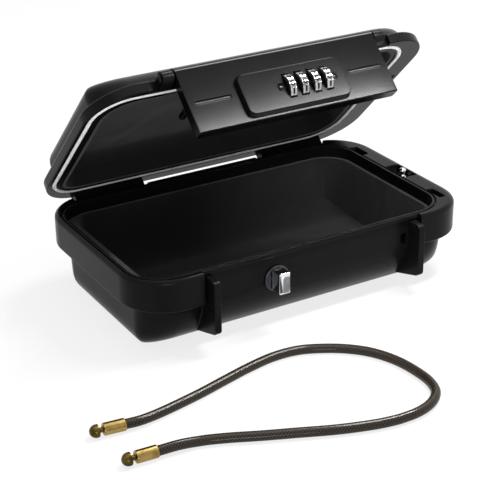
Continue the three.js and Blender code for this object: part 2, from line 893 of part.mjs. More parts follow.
// Long grip groove with round ends on one side of the flap
function gripGroove(side) {
  const z = flapZ - gripDrop;
  const half = gripHeight / 2;
  const left = Math.min(side * gripInner, side * gripOuter) + half;
  const right = Math.max(side * gripInner, side * gripOuter) - half;
  const shape = new THREE.Shape();
  shape.absarc(left, z, half, 0.5 * Math.PI, 1.5 * Math.PI, false);
  shape.absarc(right, z, half, -0.5 * Math.PI, 0.5 * Math.PI, false);
  return prismY(shape, flapFront - cutOver, flapFront + gripDepth);
}

function sideHook(side) {
  const shape = polygon([
    [flapBack - weld, hookTop - hookHeight],
    [hookBack - hookBevel, hookTop - hookHeight],
    [hookBack, hookTop - hookHeight + hookBevel],
    [hookBack, hookTop],
    [flapBack - weld, hookTop],
  ]);
  return prismSide(shape, side, hookInner, flapHalf);
}

function flapShell() {
  const side = flapHalf - flapSideWall;
  const middle = knuckleHalf + knuckleEndGap;
  const above = flapZ + flapBarrelRadius + cutOver;
  const hollow = box(-side, side, flapHollowFront, flapBack + cutOver, hollowBottom, hollowTop);
  const knuckleRoom = box(-middle, middle, flapY, flapBack + cutOver, hollowTop - weld, above)
    .add(box(-middle, middle, flapHollowFront, flapY + weld, hollowTop - weld, flapZ))
    .add(roundX(knuckleRadius + knuckleRoomGap, -middle, middle, flapY, flapZ));
  const windowInset = coverSeat - coverFlare;
  const lockWindow = box(
    coverLeft + windowInset, coverRight - windowInset, flapFront - cutOver, flapHollowFront + cutOver,
    coverBottom + windowInset, coverTop - windowInset,
  );
  const bosses = screwPlaces.map(([x, z]) => roundY(bossRadius, x, flapHollowFront - weld, bossBack, z, 12));
  const screwHoles = screwPlaces.map(([x, z]) => (
    roundY(screwRadius + gap, x, screwTip - gap, bossBack + cutOver, z, 10)
  ));
  const shell = prismX(flapProfile(), -flapHalf, flapHalf)
    .subtract(hollow)
    .subtract(knuckleRoom)
    .subtract(lockWindow)
    .subtract(roundX(flapBearing, -flapHalf - cutOver, flapHalf + cutOver, flapY, flapZ))
    .subtract(bothSides(gripGroove))
    .add(bothSides(sideHook));
  const bossed = bosses.reduce((all, boss) => all.add(boss), shell);
  return screwHoles.reduce((all, hole) => all.subtract(hole), bossed);
}

// Raised lock cover with windows, round dimples and the bearing walls that stand between the wheels
function lockCover() {
  const outer = (y, grow, corner) => evenRing(
    -y, coverLeft - grow, coverRight + grow, coverBottom - grow, coverTop + grow, corner,
  );
  const back = flapFront - gap;
  const skin = toSolid(loftGeometry([
    outer(back, coverFlare, coverCorner + coverFlare),
    outer(coverFace + coverBevel, 0, coverCorner),
    outer(coverFace, -coverBevel, coverCorner - coverBevel),
  ]).rotateX(Math.PI / 2));
  const inside = toSolid(loftGeometry([
    outer(back + cutOver, -coverWall, coverCorner - coverWall),
    outer(coverInner, -coverWall, coverCorner - coverWall),
  ]).rotateX(Math.PI / 2));
  const windowHeight = Math.sqrt(wheelRadius ** 2 - (wheelY - coverInner) ** 2) + gap;
  const windows = wheelCentres.map((x) => box(
    x - windowHalf, x + windowHalf, coverFace - cutOver, coverInner + cutOver,
    lockZ - windowHeight, lockZ + windowHeight,
  ));
  const dimpleReach = dimpleOffset - bearingWall / 2;
  const dimples = [bearingLeft - dimpleReach, bearingRight + dimpleReach].map((x) => (
    roundY(dimpleRadius, x, coverFace - cutOver, coverFace + dimpleDepth, lockZ, 24)
  ));
  const walls = box(
    bearingLeft, bearingRight, coverInner - weld, coverInner + bearingDepth,
    lockZ - wheelRadius + bearingFoot, lockZ + wheelRadius + bearingRise,
  );
  const wheelRooms = wheelCentres.map((x) => box(
    x - windowHalf, x + windowHalf,
    coverInner - 2 * weld, coverInner + bearingDepth + cutOver, 0, baseHeight,
  ));
  const shaftRoom = box(
    bearingLeft - cutOver, bearingRight + cutOver, wheelY, coverInner + bearingDepth + cutOver,
    lockZ - shaftRadius - gap, lockZ + shaftRadius + gap,
  ).add(roundX(shaftRadius + gap, bearingLeft - cutOver, bearingRight + cutOver, wheelY, lockZ, 16));
  const comb = wheelRooms.reduce((all, room) => all.subtract(room), walls.subtract(shaftRoom));
  return [...windows, ...dimples].reduce((all, cut) => all.subtract(cut), skin.subtract(inside).add(comb));
}

// Point at an angle on a circle
const onCircle = (radius, angle) => [radius * Math.cos(angle), radius * Math.sin(angle)];

// Ring of spline teeth. Each tooth has a crest and a root, given by their half angles.
function splineOutline(root, tooth, crestHalf, rootHalf) {
  return polygon(Array.from({ length: splineTeeth }, (_, i) => {
    const middle = (i / splineTeeth) * 2 * Math.PI;
    return [
      onCircle(root, middle - rootHalf),
      onCircle(tooth, middle - crestHalf),
      onCircle(tooth, middle + crestHalf),
      onCircle(root, middle + rootHalf),
    ];
  }).flat());
}

// Number wheel: flat faced ring with a small notch between digits and a splined bore, centred on its axis.
// The digit zero faces the front.
function wheel() {
  const step = (2 * Math.PI) / digitCount;
  const outline = Array.from({ length: digitCount }, (_, digit) => {
    const middle = Math.PI + digit * step;
    return [
      ...[-1.5, -0.5, 0.5, 1.5].map((facet) => onCircle(wheelRadius, middle + facet * facetAngle)),
      onCircle(wheelRadius - notchDepth, middle + step / 2),
    ];
  }).flat();
  const half = wheelWidth / 2;
  const bore = splineOutline(sleeveRoot + gap, sleeveTooth + gap, boreCrestHalf, boreRootHalf);
  return prismX(polygon(outline), -half, half).subtract(prismX(bore, -half - cutOver, half + cutOver));
}

// Clutch sleeve inside a wheel, hollow on its left for the fin of the shaft
function clutchSleeve() {
  const half = wheelWidth / 2;
  const finRoom = boltTravel + gap;
  return prismX(splineOutline(sleeveRoot, sleeveTooth, sleeveCrestHalf, sleeveRootHalf), -half, half)
    .subtract(roundX(shaftRadius + gap, -half - cutOver, half + cutOver, 0, 0, 16))
    .subtract(roundX(finReach + gap, -half - cutOver, -half + finRoom, 0, 0, 20));
}

// Shaft through the wheels, with a fin beside each wheel and a collar behind the bolt's lug
const lugRight = bearingLeft - gap - boltTravel;
const lugLeft = lugRight - boltLugWidth;

function dialShaft() {
  const left = lugLeft - gap;
  const fins = wheelCentres.map((x) => {
    const right = x - wheelWidth / 2 - gap;
    return box(
      right - finThickness, right, wheelY, wheelY + finReach, lockZ - finHalfHeight, lockZ + finHalfHeight,
    );
  });
  const collarRim = shaftRadius + shaftCollarRim;
  const bar = roundX(shaftRadius, left - shaftCollarWidth, bearingRight + shaftEnd, wheelY, lockZ, 16)
    .add(roundX(collarRim, left - shaftCollarWidth, left, wheelY + shaftCollarRim, lockZ, 16));
  return fins.reduce((all, fin) => all.add(fin), bar);
}

// Latch bolt: a thin tip that enters the stud's notch, a lug round the shaft and an ear for the spring
const boltLeft = studRight + boltStudGap;
const boltTop = boltBottom + boltHeight;
const springZ = boltTop + springRise;
const springY = boltBack - springInset;
const earLeft = boltLeft + earInset;
const earRight = earLeft + earWidth;

function lockBolt() {
  const body = box(boltLeft, lugRight, boltFront, boltBack, boltBottom, boltTop);
  const tip = box(
    studRight - boltBite + gap, boltLeft + boltTipRoot, boltFront, boltFront + boltTipThickness,
    boltBottom, boltBottom + boltTipHeight,
  );
  const lug = box(
    lugLeft, lugRight, coverInner + gap, boltFront + boltLugRoot,
    lockZ - boltLugHalfHeight, lockZ + boltLugHalfHeight,
  );
  const ear = box(earLeft, earRight, springY - earReach, boltBack, boltTop - weld, springZ + earRise);
  return body.add(tip).add(lug).add(ear)
    .subtract(roundX(shaftRadius + gap, lugLeft - boltLugRoot, lugRight + cutOver, wheelY, lockZ, 16));
}

// Back plate of the lock: stud window, rails for the bolt, a seat for its spring and a slot for the lever
const seatLeft = lugRight + seatGap;
const leverZ = plateBottom + leverRise;

function lockBackPlate() {
  const plate = box(plateLeft, plateRight, plateFront, plateBack, plateBottom, plateTop);
  const studWindow = box(
    studX - studWidth / 2 - studWindowGap, studX + studWidth / 2 + studWindowGap,
    plateFront - cutOver, plateBack + cutOver,
    studZ - studHeight / 2 - studWindowGap, studZ + studHeight / 2 + studWindowRise,
  );
  const root = plateFront + weld;
  const lowRailTop = boltBottom - gap;
  const highRailFoot = boltTop + gap;
  const railLeft = earRight + boltTravel + railEarGap;
  const lowRail = box(
    boltLeft + railInset, lugRight, boltFront, root, lowRailTop - railHeight, lowRailTop,
  );
  const highRail = box(
    railLeft, lugRight, boltFront, root, highRailFoot, highRailFoot + highRailHeight,
  );
  const seat = box(
    seatLeft, seatLeft + seatWidth, springY - earReach, root, springZ - seatDrop, springZ + earRise,
  );
  const slot = box(
    leverX - leverTabHalf - gap, leverX + leverTabHalf + gap + leverTravel,
    plateFront - cutOver, plateBack + cutOver,
    leverZ - leverTabHalfHeight - gap, leverZ + leverTabHalfHeight + gap,
  );
  const holes = screwPlaces.map(([x, z]) => (
    roundY(screwRadius + gap, x, plateFront - cutOver, plateBack + cutOver, z, 12)
  ));
  return [studWindow, slot, ...holes].reduce(
    (all, cut) => all.subtract(cut),
    plate.add(lowRail).add(highRail).add(seat),
  );
}

// Screw that holds the back plate, drawn at the origin with its head towards +Y
function plateScrew() {
  const headFront = plateBack + gap;
  const headBack = headFront + screwHeadHeight;
  const slotHalf = screwSlotWidth / 2;
  return roundY(screwHeadRadius, 0, headFront, headBack, 0, 16)
    .subtract(box(
      -screwSlotHalf, screwSlotHalf, headBack - screwSlotDepth, headBack + cutOver, -slotHalf, slotHalf,
    ))
    .add(roundY(screwRadius, 0, screwTip, headFront + weld, 0, 10));
}

// Return spring between the bolt's ear and the seat on the back plate
class Helix extends THREE.Curve {
  constructor(radius, turns, x1, x2, y, z) {
    super();
    Object.assign(this, { radius, turns, x1, x2, y, z });
  }

  getPoint(t, target = new THREE.Vector3()) {
    const angle = t * this.turns * 2 * Math.PI;
    return target.set(
      THREE.MathUtils.lerp(this.x1, this.x2, t),
      this.y + this.radius * Math.cos(angle),
      this.z + this.radius * Math.sin(angle),
    );
  }
}

function circleShape(radius, sides) {
  return polygon(Array.from({ length: sides }, (_, i) => {
    const angle = (i / sides) * 2 * Math.PI;
    return [radius * Math.cos(angle), radius * Math.sin(angle)];
  }));
}

function boltSpring() {
  const left = earRight + gap + springWireRadius;
  const right = seatLeft - gap - springWireRadius;
  const path = new Helix(springCoilRadius, springTurns, left, right, springY, springZ);
  const turnGap = (right - left) / springTurns - 2 * springWireRadius;
  console.log('least gap between turns of the spring', turnGap.toFixed(2));
  const wire = circleShape(springWireRadius, 5);
  return new THREE.ExtrudeGeometry(wire, { steps: springTurns * 8, extrudePath: path });
}

// Flat detent spring that bridges the bearing walls, with a small nose over each wheel
function detentSpring() {
  const low = lockZ + wheelRadius + bearingRise + gap;
  const strip = box(
    bearingLeft, bearingRight, coverInner + detentInset, coverInner + bearingDepth - detentInset,
    low, low + detentThickness,
  );
  const noses = wheelCentres.map((x) => prismX(polygon([
    [wheelY - noseFoot, low + weld],
    [wheelY - noseTip, low - noseDepth],
    [wheelY + noseTip, low - noseDepth],
    [wheelY + noseFoot, low + weld],
  ]), x - noseHalfWidth, x + noseHalfWidth));
  return noses.reduce((all, nose) => all.add(nose), strip);
}

// Lever that frees the clutch sleeves for a new code, reached from behind the flap
function codeSetLever() {
  const flangeBack = plateFront - gap;
  const flange = box(
    leverX - leverFlangeHalf, leverX + leverFlangeHalf, flangeBack - leverFlangeThickness, flangeBack,
    leverZ - leverFlangeDrop, leverZ + leverFlangeRise,
  );
  const tab = box(
    leverX - leverTabHalf, leverX + leverTabHalf, flangeBack - leverTabRoot, plateBack + leverTabProud,
    leverZ - leverTabHalfHeight, leverZ + leverTabHalfHeight,
  );
  return flange.add(tab);
}

// Cable route, then one brass ferrule and one tip at each end
const cableFloor = cableRadius + cableFloorGap;
const cablePoints = [
  [-156.4, -121.7, 3.85], [-149, -122.5, 3.8], [-138.5, -121, 3.2], [-124.6, -118.2, cableFloor],
  [-105, -113.8, cableFloor],
  [-86.2, -108.6, cableFloor], [-67, -103.6, cableFloor], [-48.5, -100.5, cableFloor],
  [-32.3, -101.7, cableFloor], [-18.7, -107.4, cableFloor], [-6.7, -115.5, cableFloor],
  [3.2, -126.4, cableFloor], [10.1, -141.4, cableFloor], [12.9, -158.8, cableFloor],
  [12.4, -172.2, cableFloor], [8.6, -182.3, cableFloor], [1.4, -189.1, cableFloor],
  [-7.9, -193.2, cableFloor], [-20.8, -194.9, cableFloor], [-35.8, -193.1, cableFloor],
  [-49.2, -189.4, cableFloor], [-62, -184.9, cableFloor], [-80.3, -177, cableFloor],
  [-98.5, -169.2, cableFloor], [-116.4, -161, cableFloor], [-129.8, -156.2, cableFloor],
  [-141, -154.8, 3.75], [-153.4, -154.1, 3.85],
].map(([x, y, z]) => new THREE.Vector3(x, y, z));
const cableRoute = new THREE.CatmullRomCurve3(cablePoints, false, 'centripetal');

function cableTube() {
  return new THREE.ExtrudeGeometry(circleShape(cableRadius, 10), { steps: 34, extrudePath: cableRoute });
}

// Ferrule and tip are turned about Y, which points away from the cable
function ferrule() {
  return new THREE.LatheGeometry([
    new THREE.Vector2(0, 0),
    new THREE.Vector2(ferruleRadius - ferruleBevel, 0),
    new THREE.Vector2(ferruleRadius, ferruleBevel),
    new THREE.Vector2(ferruleRadius, ferruleLength - ferruleBevel),
    new THREE.Vector2(ferruleRadius - ferruleBevel, ferruleLength),
    new THREE.Vector2(0, ferruleLength),
  ], 20);
}

function cableTip() {
  const profile = [
    new THREE.Vector2(0, 0),
    new THREE.Vector2(tipNeckRadius, 0),
    new THREE.Vector2(tipNeckRadius, tipNeckLength),
    new THREE.Vector2(tipRadius, tipNeckLength + tipUndercut),
  ];
  const domeAngle = Math.acos(tipNoseRadius / tipRadius);
  for (let step = 0; step <= tipDomeSteps; step++) {
    const angle = domeAngle * step / tipDomeSteps;
    const rise = (tipLength - tipRim) * Math.sin(angle) / Math.sin(domeAngle);
    profile.push(new THREE.Vector2(tipRadius * Math.cos(angle), tipNeckLength + tipRim + rise));
  }
  profile.push(new THREE.Vector2(0, tipNeckLength + tipLength));
  return new THREE.LatheGeometry(profile, 12);
}

// Assembly
const safe = new THREE.Group();

// A group whose pieces are drawn in the closed safe's own coordinates and turn about one point
function pivotGroup(parent, y, z, angle) {
  const group = new THREE.Group();
  group.userData.pivot = new THREE.Vector3(0, y, z);
  const origin = parent.userData.pivot ?? new THREE.Vector3();
  group.position.copy(group.userData.pivot).sub(origin);
  group.rotation.x = angle;
  parent.add(group);
  return group;
}

// Adds a named mesh, moved by a place given in the closed safe's coordinates
function place(group, name, shape, material, at = new THREE.Vector3()) {
  const geometry = shape.isBufferGeometry ? shape : toGeometry(shape);
  const mesh = new THREE.Mesh(geometry, material);
  mesh.name = name;
  mesh.position.copy(at).sub(group.userData.pivot ?? new THREE.Vector3());
  group.add(mesh);
  return mesh;
}

place(safe, 'base_shell', baseShell(), blackShell);
place(safe, 'base_liner', baseLiner(), foam);
place(safe, 'latch_stud', latchStud(), chrome);
place(safe, 'stud_collar', studCollar(), darkSteel);
place(safe, 'stud_nut', studNut(), steel);
place(safe, 'cable_keeper_pin', keeperPin(), chrome, new THREE.Vector3(keeperX, keeperY, 0));
place(safe, 'hinge_pin', rearHingePin(), steel);

const lid = pivotGroup(safe, hingeY, hingeZ, -lidOpenAngle);
place(lid, 'lid_shell', lidShell(), blackShell);
place(lid, 'lid_liner', lidLiner(), foam);
place(lid, 'lid_seal', lidSeal(), whiteSeal);
place(lid, 'flap_hinge_pin', flapHingePin(), darkSteel);

const flap = pivotGroup(lid, flapY, flapZ, 0);
place(flap, 'flap_shell', flapShell(), blackShell);
place(flap, 'lock_cover', lockCover(), blackCover);
place(flap, 'lock_back_plate', lockBackPlate(), darkSteel);
place(flap, 'detent_spring', detentSpring(), steel);
place(flap, 'code_set_lever', codeSetLever(), steel);
place(flap, 'dial_shaft', dialShaft(), steel);
place(flap, 'lock_bolt', lockBolt(), steel);
place(flap, 'bolt_spring', boltSpring(), steel);
screwPlaces.forEach(([x, z], i) => {
  place(flap, `plate_screw_${i + 1}`, plateScrew(), steel, new THREE.Vector3(x, 0, z));
});
wheelCentres.forEach((x, i) => {
  const centre = new THREE.Vector3(x, wheelY, lockZ);
  place(flap, `dial_wheel_${i + 1}`, wheel(), chrome, centre);
  place(flap, `clutch_sleeve_${i + 1}`, clutchSleeve(), brass, centre);
});

place(safe, 'cable_tube', cableTube(), cableSheath);
[['a', 0, -1], ['b', 1, 1]].forEach(([name, t, direction]) => {
  const end = cableRoute.getPoint(t);
  const outward = cableRoute.getTangent(t).multiplyScalar(direction);
  const turn = new THREE.Quaternion().setFromUnitVectors(new THREE.Vector3(0, 1, 0), outward);
  const ferruleAt = end.clone().addScaledVector(outward, gap);
  const tipAt = ferruleAt.clone().addScaledVector(outward, ferruleLength + gap);
  place(safe, `cable_ferrule_${name}`, ferrule(), brass, ferruleAt).quaternion.copy(turn);
  place(safe, `cable_tip_${name}`, cableTip(), darkBrass, tipAt).quaternion.copy(turn);
});
console.log('length of the cable between its ferrules', cableRoute.getLength().toFixed(1));

export default safe;
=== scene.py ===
# %% [markdown]
# # A portable car safe
# The solids of this safe already exist as a fixed frame in metres. This notebook dresses them: it makes finer
# shells, linings and metal parts in the same places, and gives every surface a material. We load the frame
# first and note the size of its box, because nothing we add may reach outside it.

import math
from contextlib import contextmanager

import bmesh
import bpy
from mathutils import Matrix, Vector


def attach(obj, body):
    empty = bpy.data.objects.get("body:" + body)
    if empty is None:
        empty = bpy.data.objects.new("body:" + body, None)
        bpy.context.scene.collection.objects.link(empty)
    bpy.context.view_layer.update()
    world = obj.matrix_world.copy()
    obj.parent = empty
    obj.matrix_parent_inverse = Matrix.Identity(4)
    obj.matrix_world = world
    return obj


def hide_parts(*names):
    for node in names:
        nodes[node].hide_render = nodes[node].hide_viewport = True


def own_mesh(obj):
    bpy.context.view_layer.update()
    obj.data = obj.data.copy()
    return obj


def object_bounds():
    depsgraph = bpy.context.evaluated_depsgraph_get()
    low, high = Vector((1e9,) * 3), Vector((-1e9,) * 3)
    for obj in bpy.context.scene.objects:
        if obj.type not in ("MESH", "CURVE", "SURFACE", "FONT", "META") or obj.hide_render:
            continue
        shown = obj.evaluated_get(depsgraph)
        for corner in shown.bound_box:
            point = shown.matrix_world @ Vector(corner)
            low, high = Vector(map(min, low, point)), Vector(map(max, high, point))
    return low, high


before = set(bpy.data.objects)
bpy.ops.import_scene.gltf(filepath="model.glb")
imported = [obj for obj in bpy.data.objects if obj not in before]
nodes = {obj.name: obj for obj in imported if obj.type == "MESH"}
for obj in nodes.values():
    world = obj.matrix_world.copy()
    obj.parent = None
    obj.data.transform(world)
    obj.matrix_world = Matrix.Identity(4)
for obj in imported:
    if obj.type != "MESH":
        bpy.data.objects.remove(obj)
cad_box = [list(corner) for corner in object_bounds()]
print("nodes", len(nodes), "box", cad_box)

# %% [markdown]
# ## Camera
# The photograph was taken with a long lens from the front left, a little above the safe. The angles, the
# distance and the focal length below come from fitting a camera to the outline of the base, so the render can
# be laid over the photograph.

# %% Camera
MM = 0.001
FRAME_PIXELS = 500
SENSOR = 36.0


def add_object(name, data):
    made = bpy.data.objects.new(name, data)
    bpy.context.scene.collection.objects.link(made)
    return made


def add_camera(azimuth, elevation, roll, target, distance, focal_pixels):
    back = Vector((
        math.sin(azimuth) * math.cos(elevation),
        -math.cos(azimuth) * math.cos(elevation),
        math.sin(elevation),
    ))
    side = Vector((0, 0, 1)).cross(back).normalized()
    up = back.cross(side)
    right = side * math.cos(roll) + up * math.sin(roll)
    above = up * math.cos(roll) - side * math.sin(roll)
    data = bpy.data.cameras.new("camera")
    data.sensor_width = SENSOR
    data.lens = SENSOR * focal_pixels / FRAME_PIXELS
    data.clip_end = 20
    camera = add_object("camera", data)
    camera.matrix_world = Matrix.LocRotScale(
        (target + back * distance) * MM, Matrix((right, above, back)).transposed(), None,
    )
    bpy.context.scene.camera = camera
    return camera


camera = add_camera(
    azimuth=math.radians(-30.558), elevation=math.radians(25.727), roll=math.radians(-0.574),
    target=Vector((-14.617, -16.591, 30)), distance=908.73, focal_pixels=1419.33,
)
print("camera lens", round(camera.data.lens, 2), "mm")

# %% [markdown]
# ## Floor and light
# The photograph is a product picture on pure white. A pale floor and a pale world give that background. The
# floor shows nearly plain white to the camera, and to mirrors such as chrome, and keeps a faint shadow under
# the safe. The lamps are soft panels, as in a studio: a large one above, and a smaller one high on the right
# that draws bright lines along the upper edges. A narrow strip close to the open flap makes the reflection
# that fades down its face, and two weak panels behind and in front lift the walls.

# %% Colour and node helpers
def linear(hex_colour):
    """Turns a colour written as sRGB hex into the linear values that Blender uses."""
    channels = [int(hex_colour[i:i + 2], 16) / 255 for i in (1, 3, 5)]
    return tuple(c / 12.92 if c <= 0.04045 else ((c + 0.055) / 1.055) ** 2.4 for c in channels) + (1.0,)


def add_node(tree, kind, settings=None, inputs=None, ramp=()):
    """Adds one node. An input is given by name or number, as a value or as another node's socket. The stops
    of a colour ramp are given as pairs of position and colour."""
    node = tree.nodes.new(kind)
    for name, value in (settings or {}).items():
        setattr(node, name, value)
    for name, value in (inputs or {}).items():
        if isinstance(value, bpy.types.NodeSocket):
            tree.links.new(value, node.inputs[name])
        else:
            node.inputs[name].default_value = value
    for number, (position, colour) in enumerate(ramp):
        node.color_ramp.elements[number].position = position
        node.color_ramp.elements[number].color = colour
    return node


def new_tree(name):
    material = bpy.data.materials.new(name)
    material.use_nodes = True
    material.node_tree.nodes.clear()
    return material, material.node_tree


def finish_material(tree, shader):
    add_node(tree, "ShaderNodeOutputMaterial", inputs={"Surface": shader.outputs[0]})


# %% Floor, world and lamps
FLOOR_GLOW = 0.8


def white_floor():
    material, tree = new_tree("white_floor")
    path = add_node(tree, "ShaderNodeLightPath")
    mirrored = add_node(tree, "ShaderNodeMath", {"operation": "MAXIMUM"}, {
        0: path.outputs["Is Glossy Ray"], 1: path.outputs["Is Transmission Ray"],
    })
    seen = add_node(tree, "ShaderNodeMath", {"operation": "MAXIMUM"}, {
        0: path.outputs["Is Camera Ray"], 1: mirrored.outputs[0],
    })
    share = add_node(tree, "ShaderNodeMath", {"operation": "MULTIPLY"}, {0: seen.outputs[0], 1: FLOOR_GLOW})
    paper = add_node(tree, "ShaderNodeBsdfDiffuse", inputs={"Color": linear("#f4f4f4")})
    glow = add_node(tree, "ShaderNodeEmission", inputs={"Color": (1, 1, 1, 1), "Strength": 1.0})
    mix = add_node(tree, "ShaderNodeMixShader", inputs={
        0: share.outputs[0], 1: paper.outputs[0], 2: glow.outputs[0],
    })
    finish_material(tree, mix)
    return material


def add_floor(half):
    mesh = bpy.data.meshes.new("floor")
    corners = [(-half, -half, 0), (half, -half, 0), (half, half, 0), (-half, half, 0)]
    mesh.from_pydata(corners, [], [(0, 1, 2, 3)])
    mesh.materials.append(white_floor())
    add_object("floor", mesh)


def set_world(strength):
    world = bpy.data.worlds.new("studio")
    world.use_nodes = True
    tree = world.node_tree
    tree.nodes.clear()
    path = add_node(tree, "ShaderNodeLightPath")
    seen = add_node(tree, "ShaderNodeMath", {"operation": "MAXIMUM"}, {
        0: path.outputs["Is Camera Ray"], 1: path.outputs["Is Glossy Ray"],
    })
    room = add_node(tree, "ShaderNodeBackground", inputs={"Color": (1, 1, 1, 1), "Strength": strength})
    white = add_node(tree, "ShaderNodeBackground", inputs={"Color": (1, 1, 1, 1), "Strength": 1.0})
    mix = add_node(tree, "ShaderNodeMixShader", inputs={
        0: seen.outputs[0], 1: room.outputs[0], 2: white.outputs[0],
    })
    add_node(tree, "ShaderNodeOutputWorld", inputs={"Surface": mix.outputs[0]})
    bpy.context.scene.world = world


def add_panel_lamp(name, place, aim, width, height, watts):
    """Adds a soft panel that faces its aim, with its width laid as near to the X axis as it can be."""
    data = bpy.data.lights.new(name, "AREA")
    data.shape = "RECTANGLE"
    data.size = width
    data.size_y = height
    data.energy = watts
    lamp = add_object(name, data)
    backwards = (Vector(place) - Vector(aim)).normalized()
    upwards = backwards.cross(Vector((1, 0, 0))).normalized()
    turn = Matrix((upwards.cross(backwards), upwards, backwards)).transposed()
    lamp.matrix_world = Matrix.Translation(place) @ turn.to_4x4()


bpy.context.scene.view_settings.view_transform = "Standard"
add_floor(half=4.0)
set_world(strength=0.35)
add_panel_lamp("lamp_above", (-0.25, -0.1, 1.3), (0, 0, 0.05), 1.2, 1.2, 6)
add_panel_lamp("lamp_flap", (0.095, -0.14, 0.295), (0, -0.056, 0.137), 0.15, 0.02, 1.1)
add_panel_lamp("lamp_edges", (0.62, 0.3, 1.25), (0, -0.05, 0.12), 0.45, 0.35, 13)
add_panel_lamp("lamp_rear_right", (0.8, 1.3, 0.85), (0.05, 0, 0.05), 0.5, 0.35, 0.25)
add_panel_lamp("lamp_front_left", (-0.55, -1.2, 0.12), (-0.1, 0, 0.04), 0.35, 0.2, 2.2)
print("lamps", [lamp.name for lamp in bpy.data.lights])

# %% [markdown]
# ## The loose cable
# The security cable is a braided steel rope inside a clear, smoke brown sheath, about six millimetres thick.
# It lies in one long loop in front of the safe, and the photograph shows both ends, so its length is known.
# The route repeats the points of the solid. We sweep a round section along it ourselves, because a mesh tube
# can carry a UV map that counts millimetres along and around the cable, which the braid needs.

# %% Route of the cable
CABLE_RADIUS = 2.9
CABLE_FLOOR = CABLE_RADIUS + 0.05
CABLE_POINTS = [
    (-156.4, -121.7, 3.85), (-149, -122.5, 3.8), (-138.5, -121, 3.2),
    (-124.6, -118.2, CABLE_FLOOR), (-105, -113.8, CABLE_FLOOR),
    (-86.2, -108.6, CABLE_FLOOR), (-67, -103.6, CABLE_FLOOR), (-48.5, -100.5, CABLE_FLOOR),
    (-32.3, -101.7, CABLE_FLOOR), (-18.7, -107.4, CABLE_FLOOR), (-6.7, -115.5, CABLE_FLOOR),
    (3.2, -126.4, CABLE_FLOOR), (10.1, -141.4, CABLE_FLOOR), (12.9, -158.8, CABLE_FLOOR),
    (12.4, -172.2, CABLE_FLOOR), (8.6, -182.3, CABLE_FLOOR), (1.4, -189.1, CABLE_FLOOR),
    (-7.9, -193.2, CABLE_FLOOR), (-20.8, -194.9, CABLE_FLOOR), (-35.8, -193.1, CABLE_FLOOR),
    (-49.2, -189.4, CABLE_FLOOR), (-62, -184.9, CABLE_FLOOR), (-80.3, -177, CABLE_FLOOR),
    (-98.5, -169.2, CABLE_FLOOR), (-116.4, -161, CABLE_FLOOR), (-129.8, -156.2, CABLE_FLOOR),
    (-141, -154.8, 3.75), (-153.4, -154.1, 3.85),
]


def smooth_route(points, steps):
    """Centripetal Catmull-Rom curve through the points, with its direction at each step."""
    knots = [Vector(p) for p in points]
    knots = [2 * knots[0] - knots[1]] + knots + [2 * knots[-1] - knots[-2]]
    places, directions = [], []
    for i in range(1, len(knots) - 2):
        p0, p1, p2, p3 = knots[i - 1:i + 3]
        d0, d1, d2 = ((b - a).length ** 0.5 for a, b in ((p0, p1), (p1, p2), (p2, p3)))
        m1 = ((p1 - p0) / d0 - (p2 - p0) / (d0 + d1) + (p2 - p1) / d1) * d1
        m2 = ((p2 - p1) / d1 - (p3 - p1) / (d1 + d2) + (p3 - p2) / d2) * d1
        c2 = -3 * p1 + 3 * p2 - 2 * m1 - m2
        c3 = 2 * p1 - 2 * p2 + m1 + m2
        last = i == len(knots) - 3
        for step in range(steps + 1 if last else steps):
            t = step / steps
            places.append(p1 + m1 * t + c2 * t * t + c3 * t * t * t)
            directions.append((m1 + 2 * c2 * t + 3 * c3 * t * t).normalized())
    return places, directions


cable_places, cable_directions = smooth_route(CABLE_POINTS, steps=8)
front_limit = cad_box[0][1] / MM + CABLE_RADIUS
cable_places = [Vector((p.x, max(p.y, front_limit), max(p.z, CABLE_FLOOR))) for p in cable_places]
cable_length = sum((b - a).length for a, b in zip(cable_places, cable_places[1:]))
print("cable length", round(cable_length, 1), "mm, rings", len(cable_places))

# %% [markdown]
# The sheath is clear and glossy, so the steel braid shows through it as a fine diagonal pattern that the
# curved surface magnifies. One shader gives both: the braid is a dark base with a pattern on the UV map, in
# which one slant leads, and the clear plastic over it is a coat. Real strands are about 0.5 mm wide, which is
# less than a pixel here, so the pattern is drawn at 1.5 mm, as it also looks in the photograph.

# %% Material of the cable
BRAID_PITCH = 1.5
BRAID_SLANT = 0.9
# A wave texture of scale 1 repeats after this many metres
WAVE_PERIOD = 0.314


